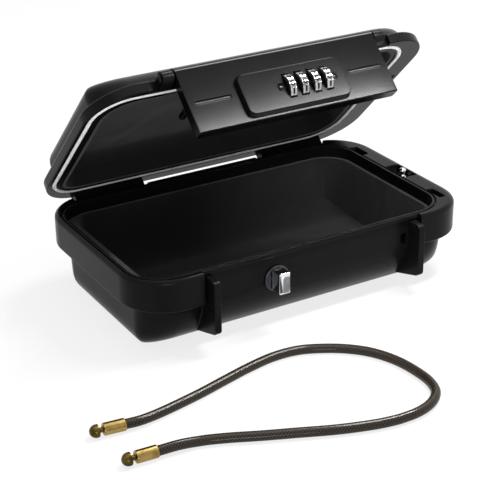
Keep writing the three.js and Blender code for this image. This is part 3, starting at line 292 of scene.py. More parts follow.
def braided_cable():
    # Steel braid under smoke brown PVC: dark, warm, glossy, with a fine diagonal weave
    material, tree = new_tree("pvc_coated_steel_braid")
    uv = add_node(tree, "ShaderNodeUVMap", {"uv_map": "cable"})
    cross = []
    for slant in (BRAID_SLANT, -BRAID_SLANT):
        turned = add_node(tree, "ShaderNodeMapping", inputs={
            "Vector": uv.outputs[0], "Rotation": (0, 0, slant),
        })
        wave = add_node(tree, "ShaderNodeTexWave", {"wave_type": "BANDS", "bands_direction": "X"}, {
            "Vector": turned.outputs[0], "Scale": WAVE_PERIOD / (BRAID_PITCH * MM),
        })
        cross.append(wave.outputs["Fac"])
    faint = add_node(tree, "ShaderNodeMapRange", inputs={"Value": cross[1], "To Min": 0.45, "To Max": 1.0})
    weave = add_node(tree, "ShaderNodeMath", {"operation": "MULTIPLY"}, {0: cross[0], 1: faint.outputs[0]})
    tone = add_node(tree, "ShaderNodeValToRGB", inputs={"Fac": weave.outputs[0]}, ramp=(
        (0, linear("#060504")), (1, linear("#43382d")),
    ))
    grime = add_node(tree, "ShaderNodeTexNoise", inputs={
        "Vector": uv.outputs[0], "Scale": 90.0, "Detail": 3.0,
    })
    rough = add_node(tree, "ShaderNodeMapRange", inputs={
        "Value": grime.outputs["Fac"], "To Min": 0.3, "To Max": 0.5,
    })
    bump = add_node(tree, "ShaderNodeBump", inputs={
        "Height": weave.outputs[0], "Strength": 0.35, "Distance": 0.3 * MM,
    })
    shader = add_node(tree, "ShaderNodeBsdfPrincipled", inputs={
        "Base Color": tone.outputs["Color"], "Roughness": rough.outputs[0], "Specular IOR Level": 0.05,
        "Normal": bump.outputs[0], "Coat Weight": 0.35, "Coat Roughness": 0.12,
    })
    finish_material(tree, shader)
    return material


# %% The cable's tube
CABLE_SIDES = 24


def sweep_tube(name, places, directions, radius, sides):
    """Closed tube along a path, with a UV map in metres: U round the tube, V along it."""
    build = bmesh.new()
    uv_layer = build.loops.layers.uv.new("cable")
    up = Vector((0, 0, 1))
    turns = [2 * math.pi * k / sides for k in range(sides)]
    rings, lengths = [], [0.0]
    for place, direction in zip(places, directions):
        side = direction.cross(up).normalized()
        top = side.cross(direction)
        spokes = [side * math.cos(a) + top * math.sin(a) for a in turns]
        rings.append([build.verts.new((place + radius * spoke) * MM) for spoke in spokes])
    for a, b in zip(places, places[1:]):
        lengths.append(lengths[-1] + (b - a).length)
    around = 2 * math.pi * radius / sides
    for i in range(len(rings) - 1):
        for k in range(sides):
            nxt = (k + 1) % sides
            face = build.faces.new((rings[i][k], rings[i][nxt], rings[i + 1][nxt], rings[i + 1][k]))
            corners = ((k, i), (k + 1, i), (k + 1, i + 1), (k, i + 1))
            for loop, (u, v) in zip(face.loops, corners):
                loop[uv_layer].uv = (u * around * MM, lengths[v] * MM)
    build.faces.new(list(reversed(rings[0])))
    build.faces.new(rings[-1])
    bmesh.ops.recalc_face_normals(build, faces=build.faces[:])
    mesh = bpy.data.meshes.new(name)
    build.to_mesh(mesh)
    build.free()
    mesh.shade_smooth()
    mesh.set_sharp_from_angle(angle=math.radians(40))
    return add_object(name, mesh)


cable = sweep_tube("cable_braided", cable_places, cable_directions, CABLE_RADIUS, CABLE_SIDES)
cable.data.materials.append(braided_cable())
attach(cable, "base")
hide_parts("cable_tube")
print("cable faces", len(cable.data.polygons))

# %% [markdown]
# ## Tools for moulded shells
# Every shell of this safe is a moulding: a rounded rectangle that changes a little with height, hollowed out
# and cut for its neighbours. So one set of tools makes them all. A ring is a rounded rectangle at one height,
# a loft is the closed skin through several rings, and a block, a prism or a bar is a simple solid with its
# edges already rounded. Rounding comes before the solids are joined, because a bevel on simple faces is
# always clean. Shapes are written in millimetres and turned into metres once, at the end.

# %% Rings and lofts
CORNER_STEPS = 12
ROUND_STEPS = 10


def ring(z, left, right, front, rear, radii):
    """Points of a rounded rectangle at height z, with the radii of its left, right, front and rear sides."""
    near_left, near_right, near_front, near_rear = radii
    corners = (
        (right - near_right, rear - near_rear, near_right, near_rear),
        (left + near_left, rear - near_rear, near_left, near_rear),
        (left + near_left, front + near_front, near_left, near_front),
        (right - near_right, front + near_front, near_right, near_front),
    )
    points = []
    for corner, (x, y, rx, ry) in enumerate(corners):
        for step in range(CORNER_STEPS + 1):
            angle = (corner + step / CORNER_STEPS) * math.pi / 2
            points.append((x + rx * math.cos(angle), y + ry * math.sin(angle), z))
    return points


def even_ring(z, left, right, front, rear, radius):
    return ring(z, left, right, front, rear, (radius,) * 4)


@contextmanager
def reshaped(mesh):
    """Opens a mesh for editing and writes the result back to it."""
    build = bmesh.new()
    build.from_mesh(mesh)
    yield build
    build.to_mesh(mesh)
    build.free()


def new_solid(points, faces):
    """A mesh object that only takes part in the shaping of another one."""
    mesh = bpy.data.meshes.new("solid")
    mesh.from_pydata([tuple(p) for p in points], [], faces)
    with reshaped(mesh) as build:
        bmesh.ops.recalc_face_normals(build, faces=build.faces[:])
    return add_object("solid", mesh)


def loft(rings):
    """Closed skin through rings of equal length, lowest first."""
    count = len(rings[0])
    faces = [tuple(reversed(range(count)))]
    for level in range(len(rings) - 1):
        for i in range(count):
            a, b = level * count + i, level * count + (i + 1) % count
            faces.append((a, b, b + count, a + count))
    faces.append(tuple(range((len(rings) - 1) * count, len(rings) * count)))
    return new_solid([p for points in rings for p in points], faces)


print("points in one ring", len(even_ring(0, -1, 1, -1, 1, 0.5)))

# %% Blocks, prisms and bars
SHARP_ANGLE = math.radians(35)
EDGE_SEGMENTS = 3


def round_edges(solid, radius):
    """Rounds the sharp edges of a simple solid."""
    if radius > 0:
        with reshaped(solid.data) as build:
            sharp = [e for e in build.edges if e.calc_face_angle(0) > SHARP_ANGLE]
            bmesh.ops.bevel(
                build, geom=sharp, offset=radius, segments=EDGE_SEGMENTS, profile=0.5, affect="EDGES",
            )
    return solid


def block(x1, x2, y1, y2, z1, z2, radius=0.0):
    points = [(x, y, z) for z in (z1, z2) for y in (y1, y2) for x in (x1, x2)]
    faces = [(0, 2, 3, 1), (4, 5, 7, 6), (0, 1, 5, 4), (2, 6, 7, 3), (0, 4, 6, 2), (1, 3, 7, 5)]
    return round_edges(new_solid(points, faces), radius)


def prism(outline, place, low, high, radius=0.0):
    """Extrudes an outline. place(u, v, w) says where its points and its depth w lie."""
    count = len(outline)
    points = [place(u, v, w) for w in (low, high) for u, v in outline]
    faces = [tuple(reversed(range(count))), tuple(range(count, 2 * count))]
    faces += [(i, (i + 1) % count, count + (i + 1) % count, count + i) for i in range(count)]
    return round_edges(new_solid(points, faces), radius)


def about_x(y, z):
    """Places points about an axis that runs along X through y and z, with their depth w along it."""
    return lambda u, v, w: (w, y + u, z + v)


def about_y(x, z):
    return lambda u, v, w: (x + u, w, z + v)


def about_z(x, y):
    return lambda u, v, w: (x + u, y + v, w)


along_x, along_y, along_z = about_x(0, 0), about_y(0, 0), about_z(0, 0)


def arc(u, v, radius, start, end, steps=12):
    """Points of a circular arc, with its angles in degrees."""
    angles = [math.radians(start + (end - start) * i / steps) for i in range(steps + 1)]
    return [(u + radius * math.cos(a), v + radius * math.sin(a)) for a in angles]


def circle(u, v, radius, sides=48):
    return arc(u, v, radius, 0, 360, sides)[:-1]


def bar_x(radius, x1, x2, y, z, edge=0.0, sides=40):
    return prism(circle(y, z, radius, sides), along_x, x1, x2, edge)


def bar_y(radius, x, y1, y2, z, edge=0.0, sides=40):
    return prism(circle(x, z, radius, sides), along_y, y1, y2, edge)


# %% Joining and cutting
def plain_mesh(made):
    """The object's mesh with its modifiers applied."""
    bpy.context.view_layer.update()
    return bpy.data.meshes.new_from_object(made.evaluated_get(bpy.context.evaluated_depsgraph_get()))


def combine(first, *steps):
    """Applies steps such as ("UNION", solid) to the first solid and returns the result as one solid."""
    for operation, other in steps:
        modifier = first.modifiers.new("step", "BOOLEAN")
        modifier.operation = operation
        modifier.solver = "MANIFOLD"
        modifier.object = other
    mesh = plain_mesh(first)
    for solid in [first] + [other for _, other in steps]:
        old = solid.data
        bpy.data.objects.remove(solid)
        bpy.data.meshes.remove(old)
    return add_object("solid", mesh)


def join(*solids):
    return combine(solids[0], *(("UNION", s) for s in solids[1:]))


def cut(solid, *cutters):
    return combine(solid, *(("DIFFERENCE", c) for c in cutters))


# %% [markdown]
# A finished solid becomes a named piece in three moves. It is turned from the closed safe's coordinates to
# where it stands in the frame, its soft edges are shaded smooth while its crisp ones stay sharp, and Weighted
# Normal lets the large flat faces keep their own direction, so that no false shading creeps over them.

# %% From solid to piece
LID_ANGLE = math.radians(45)
HINGE_Y = 69.5
HINGE_Z = 47.4

MERGE_GAP = 0.02 * MM
SHORTEST_EDGE = 0.01 * MM

standing = Matrix.Identity(4)
open_lid = (
    Matrix.Translation((0, HINGE_Y, HINGE_Z))
    @ Matrix.Rotation(-LID_ANGLE, 4, "X")
    @ Matrix.Translation((0, -HINGE_Y, -HINGE_Z))
)


def finish_piece(solid, name, body, slot, material, turn=standing, *, stands_for, crease=32, second=None):
    """Makes a solid a named piece on its body. Faces whose material index is 1 get the second material."""
    solid.name = name
    mesh = solid.data
    mesh.transform(Matrix.Scale(MM, 4) @ turn)
    with reshaped(mesh) as build:
        bmesh.ops.remove_doubles(build, verts=build.verts[:], dist=MERGE_GAP)
        bmesh.ops.dissolve_degenerate(build, dist=SHORTEST_EDGE, edges=build.edges[:])
    mesh.shade_smooth()
    mesh.set_sharp_from_angle(angle=math.radians(crease))
    weighted = solid.modifiers.new("flat faces first", "WEIGHTED_NORMAL")
    weighted.keep_sharp = True
    weighted.weight = 80
    even = plain_mesh(solid)
    solid.modifiers.clear()
    solid.data = even
    bpy.data.meshes.remove(mesh)
    even.name = name
    second_faces = [face.index for face in even.polygons if second and face.material_index == 1]
    even.materials.clear()
    for each in (material, second) if second else (material,):
        even.materials.append(each)
    for index in second_faces:
        even.polygons[index].material_index = 1
    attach(solid, body)
    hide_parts(*stands_for)
    print(name, "faces", len(even.polygons))
    return solid


# %% [markdown]
# ## Moulded plastic
# Both shells, the flap and the lock cover are black ABS from a steel mould whose surface was spark eroded.
# That gives a satin black: broad soft highlights, a very fine even grain, and slightly glossier patches where
# hands polish it. The grain is about 0.15 mm on the real part, too fine to show here, so it is drawn at
# 0.5 mm. The flap and its cover come from a smoother mould, so they are blacker and a little glossier.

# %% Material of the shells
GRAIN_SIZE = 0.5
GRAIN_LIFT = 1.35


def satin_abs(name, colour, low_rough, high_rough, shine):
    material, tree = new_tree(name)
    place = add_node(tree, "ShaderNodeTexCoord")
    patches = add_node(tree, "ShaderNodeTexNoise", inputs={
        "Vector": place.outputs["Object"], "Scale": 22.0, "Detail": 4.0, "Roughness": 0.55,
    })
    grain = add_node(tree, "ShaderNodeTexNoise", inputs={
        "Vector": place.outputs["Object"], "Scale": 1 / (GRAIN_SIZE * MM), "Detail": 2.0,
    })
    rough = add_node(tree, "ShaderNodeMapRange", inputs={
        "Value": patches.outputs["Fac"], "From Min": 0.3, "From Max": 0.7,
        "To Min": low_rough, "To Max": high_rough,
    })
    lighter = tuple(GRAIN_LIFT * c for c in linear(colour)[:3]) + (1.0,)
    tone = add_node(tree, "ShaderNodeValToRGB", inputs={"Fac": grain.outputs["Fac"]}, ramp=(
        (0.3, linear(colour)), (0.75, lighter),
    ))
    bump = add_node(tree, "ShaderNodeBump", inputs={
        "Height": grain.outputs["Fac"], "Strength": 0.1, "Distance": 0.04 * MM,
    })
    shader = add_node(tree, "ShaderNodeBsdfPrincipled", inputs={
        "Base Color": tone.outputs["Color"], "Roughness": rough.outputs[0], "Normal": bump.outputs[0],
        "IOR": 1.5, "Specular IOR Level": shine,
    })
    finish_material(tree, shader)
    return material


shell_black = satin_abs("spark_eroded_black_abs", "#0f0f10", 0.22, 0.28, 0.06)
flap_black = satin_abs("polished_black_abs", "#050506", 0.17, 0.21, 0.12)
print("shell materials", shell_black.name, flap_black.name)

# %% [markdown]
# ## Base shell
# The base is a tub with round lower corners. Around its top runs a wider skirt with a rolled upper edge, and
# inside that stands a thin sealing lip, on which the lid's white seal closes. The front has a flat bay for
# the lock flap between two guard ribs, and the rear has the notch and the middle barrel of the hinge. We
# loft the large forms from rings, because all of them are rounded rectangles, and then join and cut the
# smaller ones.

# %% Sizes of the case
HALF_WIDTH, HALF_DEPTH = 120.0, 73.0
CORNER_RADIUS = 30.5
SMALLEST_CORNER = 6.0
BASE_HEIGHT = 54.0
BASE_WALL = 3.0
SKIRT_BOTTOM = 33.0
SKIRT_STEP = 8.5
LEDGE_TOP = 44.0
PANEL_Y = -68.5
RIB_INNER, RIB_OUTER = 71.8, 76.3
BAY_HALF = 78.5
BAY_CAVITY_HALF = 64.5
SIDE_ROUND, END_ROUND = 12.0, 28.0
LIP_LEFT, LIP_RIGHT = -115.8, 103.2
LIP_FRONT, LIP_REAR = -67.2, 60.8
LIP_CORNER = 22
LIP_HALF = 0.8
GROOVE_OUTER = 1.8
STUD_X, STUD_Z = -27, 36
SHANK_HOLE = 4.3
KNUCKLE_RADIUS, PIN_HOLE = 4.6, 1.8


def inset_ring(z, left, right, front, rear):
    """The case outline drawn in by its own amount on each side."""
    radii = [max(CORNER_RADIUS - inset, SMALLEST_CORNER) for inset in (left, right, front, rear)]
    return ring(z, -HALF_WIDTH + left, HALF_WIDTH - right, -HALF_DEPTH + front, HALF_DEPTH - rear, radii)


def even_inset(z, inset):
    return inset_ring(z, inset, inset, inset, inset)


def lip_ring(z, offset):
    """The centre line of the sealing lip, moved outwards by an offset."""
    return even_ring(
        z, LIP_LEFT - offset, LIP_RIGHT + offset, LIP_FRONT - offset, LIP_REAR + offset, LIP_CORNER + offset,
    )


def round_inset(radius, rise):
    """How far a quarter round stands in from its wall, at a height above its foot."""
    return 0.0 if rise >= radius else radius - math.sqrt(radius ** 2 - (radius - rise) ** 2)


def quarter_turn(steps):
    """Angles of a quarter turn, from 0 upwards."""
    return [step / steps * math.pi / 2 for step in range(steps + 1)]


# %% Large forms of the base
def body_skin(depth, top):
    """The tub's skin, moved inwards by a depth, with its long edges rounded less than its ends."""
    side_round, end_round = SIDE_ROUND - depth, END_ROUND - depth
    rings = []
    rises = [end_round * (1 - math.cos(angle)) for angle in quarter_turn(ROUND_STEPS)]
    for rise in rises + [top - depth]:
        side = SKIRT_STEP + depth + round_inset(side_round, rise)
        end = SKIRT_STEP + depth + round_inset(end_round, rise)
        rings.append(inset_ring(depth + rise, side, side, end, end))
    return loft(rings)


def bay_skin(depth, half, top, edge=0.0):
    """The flat bay behind the lock flap, whose foot is a round of its own."""
    front, radius = PANEL_Y + depth, 35.0 - depth
    outline = [(front + radius, depth), (front + radius, top), (front, top)]
    outline += arc(front + radius, depth + radius, radius, 180, 270, 2 * ROUND_STEPS)[:-1]
    return prism(outline, along_x, -half, half, edge)


def skirt_skin():
    """The skirt's lower edge has a round of 1 mm. Its upper edge rolls in by its own width on each side."""
    roll_height, roll_left, roll_right, roll_front, roll_rear = 3.5, 3.2, 6, 2, 4.5
    rings = [
        even_inset(SKIRT_BOTTOM + 1 - math.cos(angle), 1 - math.sin(angle))
        for angle in (0, 0.5, 1.0, math.pi / 2)
    ]
    for angle in quarter_turn(9):
        share = 1 - math.cos(angle)
        rings.append(inset_ring(
            BASE_HEIGHT - roll_height * (1 - math.sin(angle)),
            roll_left * share, roll_right * share, roll_front * share, roll_rear * share,
        ))
    return loft(rings)


def base_skirt():
    closed = BAY_HALF + 3
    hollow = cut(
        loft([even_inset(z, 3) for z in (SKIRT_BOTTOM - 1, SKIRT_BOTTOM + 4.4)]),
        block(-closed, closed, -HALF_DEPTH, PANEL_Y + BASE_WALL, 0, BASE_HEIGHT),
    )
    bay = block(-BAY_HALF, BAY_HALF, -HALF_DEPTH - 1, PANEL_Y, 0, BASE_HEIGHT + 1)
    return cut(skirt_skin(), hollow, bay)


# %% Ribs, hinge block and pockets
def guard_rib(side):
    front, top, low = -HALF_DEPTH - 7.2, BASE_HEIGHT - 4, 15.4
    outline = [(PANEL_Y + 8.5, top)] + arc(front + 3, top - 3, 3, 90, 180, 5)
    outline += [(front, low + 2), (front + 0.6, low + 0.6), (front + 2, low - 0.6), (PANEL_Y + 13.5, low / 2)]
    inner = min(side * RIB_INNER, side * RIB_OUTER)
    return prism(outline, along_x, inner, inner + RIB_OUTER - RIB_INNER, 0.45)


def hinge_block():
    floor, front = HINGE_Z - 5.3, HINGE_Y - 5.3
    return join(
        block(-42, 42, front - 0.3, HALF_DEPTH, floor - 0.2, HINGE_Z),
        bar_x(KNUCKLE_RADIUS, -42, 42, HINGE_Y, HINGE_Z, 0.4),
    )


def mouth_levels(floor, flare, rise, above=1):
    """Heights of an opening in the base's top, each with how far its mouth flares there."""
    return (floor, 0), (BASE_HEIGHT - rise, 0), (BASE_HEIGHT, flare), (BASE_HEIGHT + above, flare)


def land_pocket(front, rear):
    left, floor = LIP_RIGHT + GROOVE_OUTER, 42
    rings = [
        even_ring(z, left, left + 5 + flare, front - flare, rear + flare, 2.4 + flare)
        for z, flare in mouth_levels(floor, 0.4, 0.5)
    ]
    return join(loft(rings), block(left, left + 2.5, front, rear, floor, BASE_HEIGHT + 1))


def cable_chamber():
    """The room for the cable's tips, and the two ports in the side wall through which they go in."""
    ports = [bar_x(4.3, 114.7, HALF_WIDTH + 1, y, 46) for y in (-11.6, -0.8)]
    room = [
        even_ring(z, 105 - flare, 115.7 + flare, -17.5 - flare, 4 + flare, 0.8 + flare)
        for z, flare in mouth_levels(40, 0.5, 0.6)
    ]
    return join(loft(room), *ports)


def hook_slot(side):
    inner, outer = sorted((side * 66.0, side * 70.1))
    return block(inner, outer, PANEL_Y - 1, -62.1, 34, 42)


# %% The base shell, joined and cut
def soft_lip(offset, low, high, grow):
    """Slab over the lip's line whose upper edge is rounded outwards (grow 1) or inwards (grow -1)."""
    edge = 0.5
    rings = [lip_ring(low, offset)]
    for angle in quarter_turn(4):
        drop, shift = edge * (1 - math.sin(angle)), grow * edge * (1 - math.cos(angle))
        rings.append(lip_ring(high - drop, offset + shift))
    return loft(rings + [lip_ring(high + 1, offset + grow * edge)])


def base_cavity(inset, bay_inset, top):
    """The space inside the base's walls, or a smaller one for the liner and for the liner's own hollow."""
    return combine(
        join(
            body_skin(BASE_WALL + inset, top),
            bay_skin(BASE_WALL + bay_inset, BAY_CAVITY_HALF - inset, top),
        ),
        ("INTERSECT", loft([lip_ring(0, -LIP_HALF - inset), lip_ring(top, -LIP_HALF - inset)])),
    )


def base_shell_solid():
    cornice = block(-BAY_HALF, BAY_HALF, PANEL_Y - 1.5, PANEL_Y + 3, 51, BASE_HEIGHT, 0.5)
    solid = join(
        body_skin(0, BASE_HEIGHT), bay_skin(0, BAY_HALF, BASE_HEIGHT, 0.6), base_skirt(),
        guard_rib(1), guard_rib(-1), cornice,
    )
    hollow = base_cavity(0, 0, LEDGE_TOP + 1)
    groove = cut(
        loft([lip_ring(z, GROOVE_OUTER + flare) for z, flare in mouth_levels(52, 0.4, 0.4, above=1.5)]),
        soft_lip(LIP_HALF, 50, BASE_HEIGHT, -1),
    )
    solid = cut(
        solid, hollow, soft_lip(-LIP_HALF, LEDGE_TOP, BASE_HEIGHT, 1), groove,
        block(-98.5, 98.5, HINGE_Y - 5.3, HALF_DEPTH + 1, HINGE_Z - 5.3, BASE_HEIGHT + 1),
    )
    solid = join(solid, hinge_block())
    return cut(
        solid, bar_x(PIN_HOLE, -96, 96, HINGE_Y, HINGE_Z), land_pocket(-57, -42), land_pocket(30, 46),
        cable_chamber(), hook_slot(1), hook_slot(-1),
        bar_y(SHANK_HOLE, STUD_X, PANEL_Y - 2, PANEL_Y + 4, STUD_Z),
    )


finish_piece(
    base_shell_solid(), "base_shell_moulded", "base", "shell", shell_black, stands_for=("base_shell",),
)

# %% [markdown]
# ## Lid shell
# The lid repeats the base's outline as a flat flange, and a shallower body with a long soft round rises from
# it. Two arms at the rear reach down to the hinge, and two lugs at the front hold the pin of the lock flap.
# Its pieces are written as they stand on the closed safe, and one matrix opens them all by 45 degrees.

# %% Large forms of the lid
LID_BOTTOM = 54.6
LID_TOP = 78.3
FLANGE_TOP = 61.6
LID_STEP = 7.5
LID_WALL = 2.6
LID_SIDE_ROUND, LID_END_ROUND = 8, 24
FLANGE_LOW_EDGE, FLANGE_HIGH_EDGE = 0.9, 1.4
CAVITY_INSET = 2.9
LUG_INNER, LUG_OUTER = 70.4, 78.0
FLAP_Y, FLAP_Z = -74.8, 60.0


def lid_skin(depth, low):
    """The lid's raised body, moved inwards by a depth. Its round crown spreads wider at the two ends."""
    crown = LID_TOP - depth
    side_round, end_round = LID_SIDE_ROUND - depth, LID_END_ROUND - depth
    heights = [crown - end_round * (1 - math.cos(angle)) for angle in reversed(quarter_turn(ROUND_STEPS))]
    rings = []
    for z in [low] + [h for h in heights if h > low + 0.5]:
        side = LID_STEP + depth + round_inset(side_round, crown - z)
        end = LID_STEP + depth + round_inset(end_round, crown - z)
        rings.append(inset_ring(z, side, side, end, end))
    return loft(rings)


def flange_skin():
    rounds = [(1 - math.cos(angle), 1 - math.sin(angle)) for angle in quarter_turn(4)]
    low = [(LID_BOTTOM + FLANGE_LOW_EDGE * rise, FLANGE_LOW_EDGE * inset) for rise, inset in rounds]
    high = [
        (FLANGE_TOP - FLANGE_HIGH_EDGE * drop, FLANGE_HIGH_EDGE * inset) for drop, inset in reversed(rounds)
    ]
    return loft([even_inset(z, inset) for z, inset in low + high])


def lid_cavity(inset, low):
    inside = -CAVITY_INSET - inset
    return combine(
        lid_skin(LID_WALL + inset, low),
        ("INTERSECT", loft([lip_ring(low - 1, inside), lip_ring(LID_TOP, inside)])),
    )


# %% Hinge arms, lugs and knuckle
def hinge_arm(side):
    inner, outer = sorted((side * 46, side * 96))
    return join(
        bar_x(KNUCKLE_RADIUS, inner, outer, HINGE_Y, HINGE_Z, 0.4),
        block(inner, outer, HINGE_Y - KNUCKLE_RADIUS, HINGE_Y + 2.9, HINGE_Z, LID_BOTTOM + 1.4, 0.35),
    )


def flap_lug(side):
    outline = [(FLAP_Y + 8, LID_BOTTOM + 0.4), (FLAP_Y + 8, FLANGE_TOP + 0.6)]
    outline += arc(FLAP_Y, FLAP_Z, 4.4, 90, 270, 16)
    inner, outer = sorted((side * LUG_INNER, side * LUG_OUTER))
    return prism(outline, along_x, inner, outer, 0.5)


def lid_shell_solid():
    knuckle_half = 34.5
    bay_face = FLAP_Y + 5.1
    bay = block(-84, 84, -HALF_DEPTH - 1, bay_face, LID_BOTTOM - 1, FLANGE_TOP + 1)
    seal_room = cut(
        loft([lip_ring(z, 1.7) for z in (LID_BOTTOM - 1, LID_BOTTOM + 2.7)]),
        loft([lip_ring(z, -1.7) for z in (LID_BOTTOM - 2, LID_TOP)]),
    )
    keeper_room = block(106, 116.5, -20, 7, LID_BOTTOM - 1, LID_BOTTOM + 5.4, 0.6)
    knuckle_web = block(
        -knuckle_half, knuckle_half, FLAP_Y - 1.2, bay_face + 1, LID_BOTTOM + 0.2, FLAP_Z - 2, 0.3,
    )
    solid = join(
        cut(flange_skin(), bay), lid_skin(0, FLANGE_TOP - 1), hinge_arm(1), hinge_arm(-1), flap_lug(1),
        flap_lug(-1), knuckle_web, bar_x(3, -knuckle_half, knuckle_half, FLAP_Y, FLAP_Z, 0.4),
    )
    return cut(
        solid, lid_cavity(0, LID_BOTTOM - 1), seal_room, keeper_room,
        bar_x(PIN_HOLE, -93, 93, HINGE_Y, HINGE_Z), bar_x(PIN_HOLE, -79, 79, FLAP_Y, FLAP_Z),
    )


finish_piece(
    lid_shell_solid(), "lid_shell_moulded", "lid", "shell", shell_black, open_lid, stands_for=("lid_shell",),
)

# %% [markdown]
# ## White seal
# The seal is a soft silicone cord pressed into a groove of the lid. It is a matt, slightly warm white, with a
# trace of dust. Its section is a rounded rectangle, carried round the same line as the sealing lip.

# %% The seal
def band_round_lip(section):
    """Closed ring with this section, given as offsets from the lip's line and heights."""
    loops = [lip_ring(z, offset) for offset, z in section]
    count = len(loops[0])
    faces = []
    for level in range(len(loops)):
        here, above = level * count, (level + 1) % len(loops) * count
        faces += [
            (here + i, here + (i + 1) % count, above + (i + 1) % count, above + i) for i in range(count)
        ]
    return new_solid([p for points in loops for p in points], faces)


def seal_section(width, low, height, radius):
    half = width / 2
    section = arc(half - radius, low + radius, radius, 0, -90, 5)
    section += [(0.35, low), (0, low + 0.18), (-0.35, low)]
    section += arc(-half + radius, low + radius, radius, -90, -180, 5)
    return section + [(-half, low + height), (half, low + height)]


def silicone_white():
    material, tree = new_tree("moulded_white_silicone")
    place = add_node(tree, "ShaderNodeTexCoord")
    dust = add_node(tree, "ShaderNodeTexNoise", inputs={
        "Vector": place.outputs["Object"], "Scale": 60.0, "Detail": 5.0, "Roughness": 0.6,
    })
    tone = add_node(tree, "ShaderNodeValToRGB", inputs={"Fac": dust.outputs["Fac"]}, ramp=(
        (0.35, linear("#ebeae7")), (0.6, linear("#fafaf8")),
    ))
    bump = add_node(tree, "ShaderNodeBump", inputs={
        "Height": dust.outputs["Fac"], "Strength": 0.15, "Distance": 0.2 * MM,
    })
    shader = add_node(tree, "ShaderNodeBsdfPrincipled", inputs={
        "Base Color": tone.outputs["Color"], "Roughness": 0.62, "Normal": bump.outputs[0],
        "Subsurface Weight": 0.08, "Subsurface Scale": 0.002, "IOR": 1.41,
    })
    finish_material(tree, shader)
    return material


seal_cord = band_round_lip(seal_section(width=2.8, low=BASE_HEIGHT + 0.3, height=2.7, radius=0.9))
finish_piece(seal_cord, "lid_seal_cord", "lid", "seal", silicone_white(), open_lid, stands_for=("lid_seal",))

# %% [markdown]
# ## Linings
# The base holds a tub of black foam with a felt face, and the lid a thinner dish of the same. Felt is a mat
# of short fibres: it has no highlight, but it lights up a little at grazing angles, which is what sheen does.
# The fibres are about 0.02 mm thick, so they are drawn as 0.4 mm tufts. Where felt is glued into a deep form
# it keeps soft hollows a few centimetres long, and a second, slow bump draws those.

# %% Material of the linings
TUFT_SIZE = 0.4


def foam_felt():
    material, tree = new_tree("felt_faced_foam")
    place = add_node(tree, "ShaderNodeTexCoord")
    tufts = add_node(tree, "ShaderNodeTexNoise", inputs={
        "Vector": place.outputs["Object"], "Scale": 1 / (TUFT_SIZE * MM), "Detail": 3.0, "Roughness": 0.7,
    })
    hollows = add_node(tree, "ShaderNodeTexNoise", inputs={
        "Vector": place.outputs["Object"], "Scale": 28.0, "Detail": 1.0, "Distortion": 0.6,
    })
    tone = add_node(tree, "ShaderNodeValToRGB", inputs={"Fac": tufts.outputs["Fac"]}, ramp=(
        (0.3, linear("#0d0d0e")), (0.7, linear("#232324")),
    ))
    soft = add_node(tree, "ShaderNodeBump", inputs={
        "Height": hollows.outputs["Fac"], "Strength": 0.5, "Distance": 3.5 * MM,
    })
    bump = add_node(tree, "ShaderNodeBump", inputs={
        "Height": tufts.outputs["Fac"], "Normal": soft.outputs[0], "Strength": 0.4, "Distance": 0.2 * MM,
    })
    shader = add_node(tree, "ShaderNodeBsdfPrincipled", inputs={
        "Base Color": tone.outputs["Color"], "Roughness": 0.92, "Normal": bump.outputs[0],
        "Sheen Weight": 0.25, "Sheen Roughness": 0.5, "Specular IOR Level": 0.2,
    })
    finish_material(tree, shader)
    return material


lining_felt = foam_felt()

# %% The two linings
LINER_TOP = 46.3
LINER_GAP = 0.3
LINER_DEPTH = 2.8
NUT_ACROSS = 13


def hexagon(across):
    """Outline of a nut, this far across its flats, round the stud's axis."""
    return circle(STUD_X, STUD_Z, across / math.sqrt(3), 6)


def base_liner_solid():
    """A tub with a soft upper edge. Its front wall is thicker, and leaves room for the stud's nut."""
    edge = ((LEDGE_TOP + 0.3, 0.3), (LINER_TOP - 0.6, 0.3), (LINER_TOP - 0.15, 0.5), (LINER_TOP, 1.0))
    tub = join(
        base_cavity(LINER_GAP, LINER_GAP, LINER_TOP),
        loft([lip_ring(z, -LIP_HALF - inset) for z, inset in edge]),
    )
    nut_room = prism(hexagon(NUT_ACROSS + 0.6), along_y, PANEL_Y + 2.3, PANEL_Y + 6.6)
    return cut(tub, base_cavity(LINER_DEPTH, LINER_DEPTH + 1.5, LINER_TOP + 1), nut_room)


finish_piece(
    base_liner_solid(), "base_liner_felt", "base", "lining", lining_felt,
    stands_for=("base_liner",), crease=40,
)
finish_piece(
    cut(lid_cavity(LINER_GAP, LID_BOTTOM + 0.6), lid_cavity(LINER_DEPTH, LID_BOTTOM - 0.4)),
    "lid_liner_felt", "lid", "lining", lining_felt, open_lid, stands_for=("lid_liner",), crease=40,
)

# %% [markdown]
# ## Lock flap
# The flap hangs from a pin between the lid's lugs. Its section is constant, a flat face with a round knuckle
# at the top and rounded edges at the bottom, so it is an extruded outline with rounded ends. Two long grooves
# with round ends give the fingers a grip, and a hook behind each end steadies it against the base.

# %% The flap
FLAP_FRONT, FLAP_BACK = -79.4, -70.6
FLAP_HALF = 69.6
FLAP_BOTTOM = 20.3
GROOVE_Z = 38.6
GROOVE_HALF, GROOVE_DEPTH = 1.4, 0.6
SCREW_PLACES = [(x, z) for x in (-41, 39) for z in (26.1, 47.5)]
SCREW_HOLE = 1.2


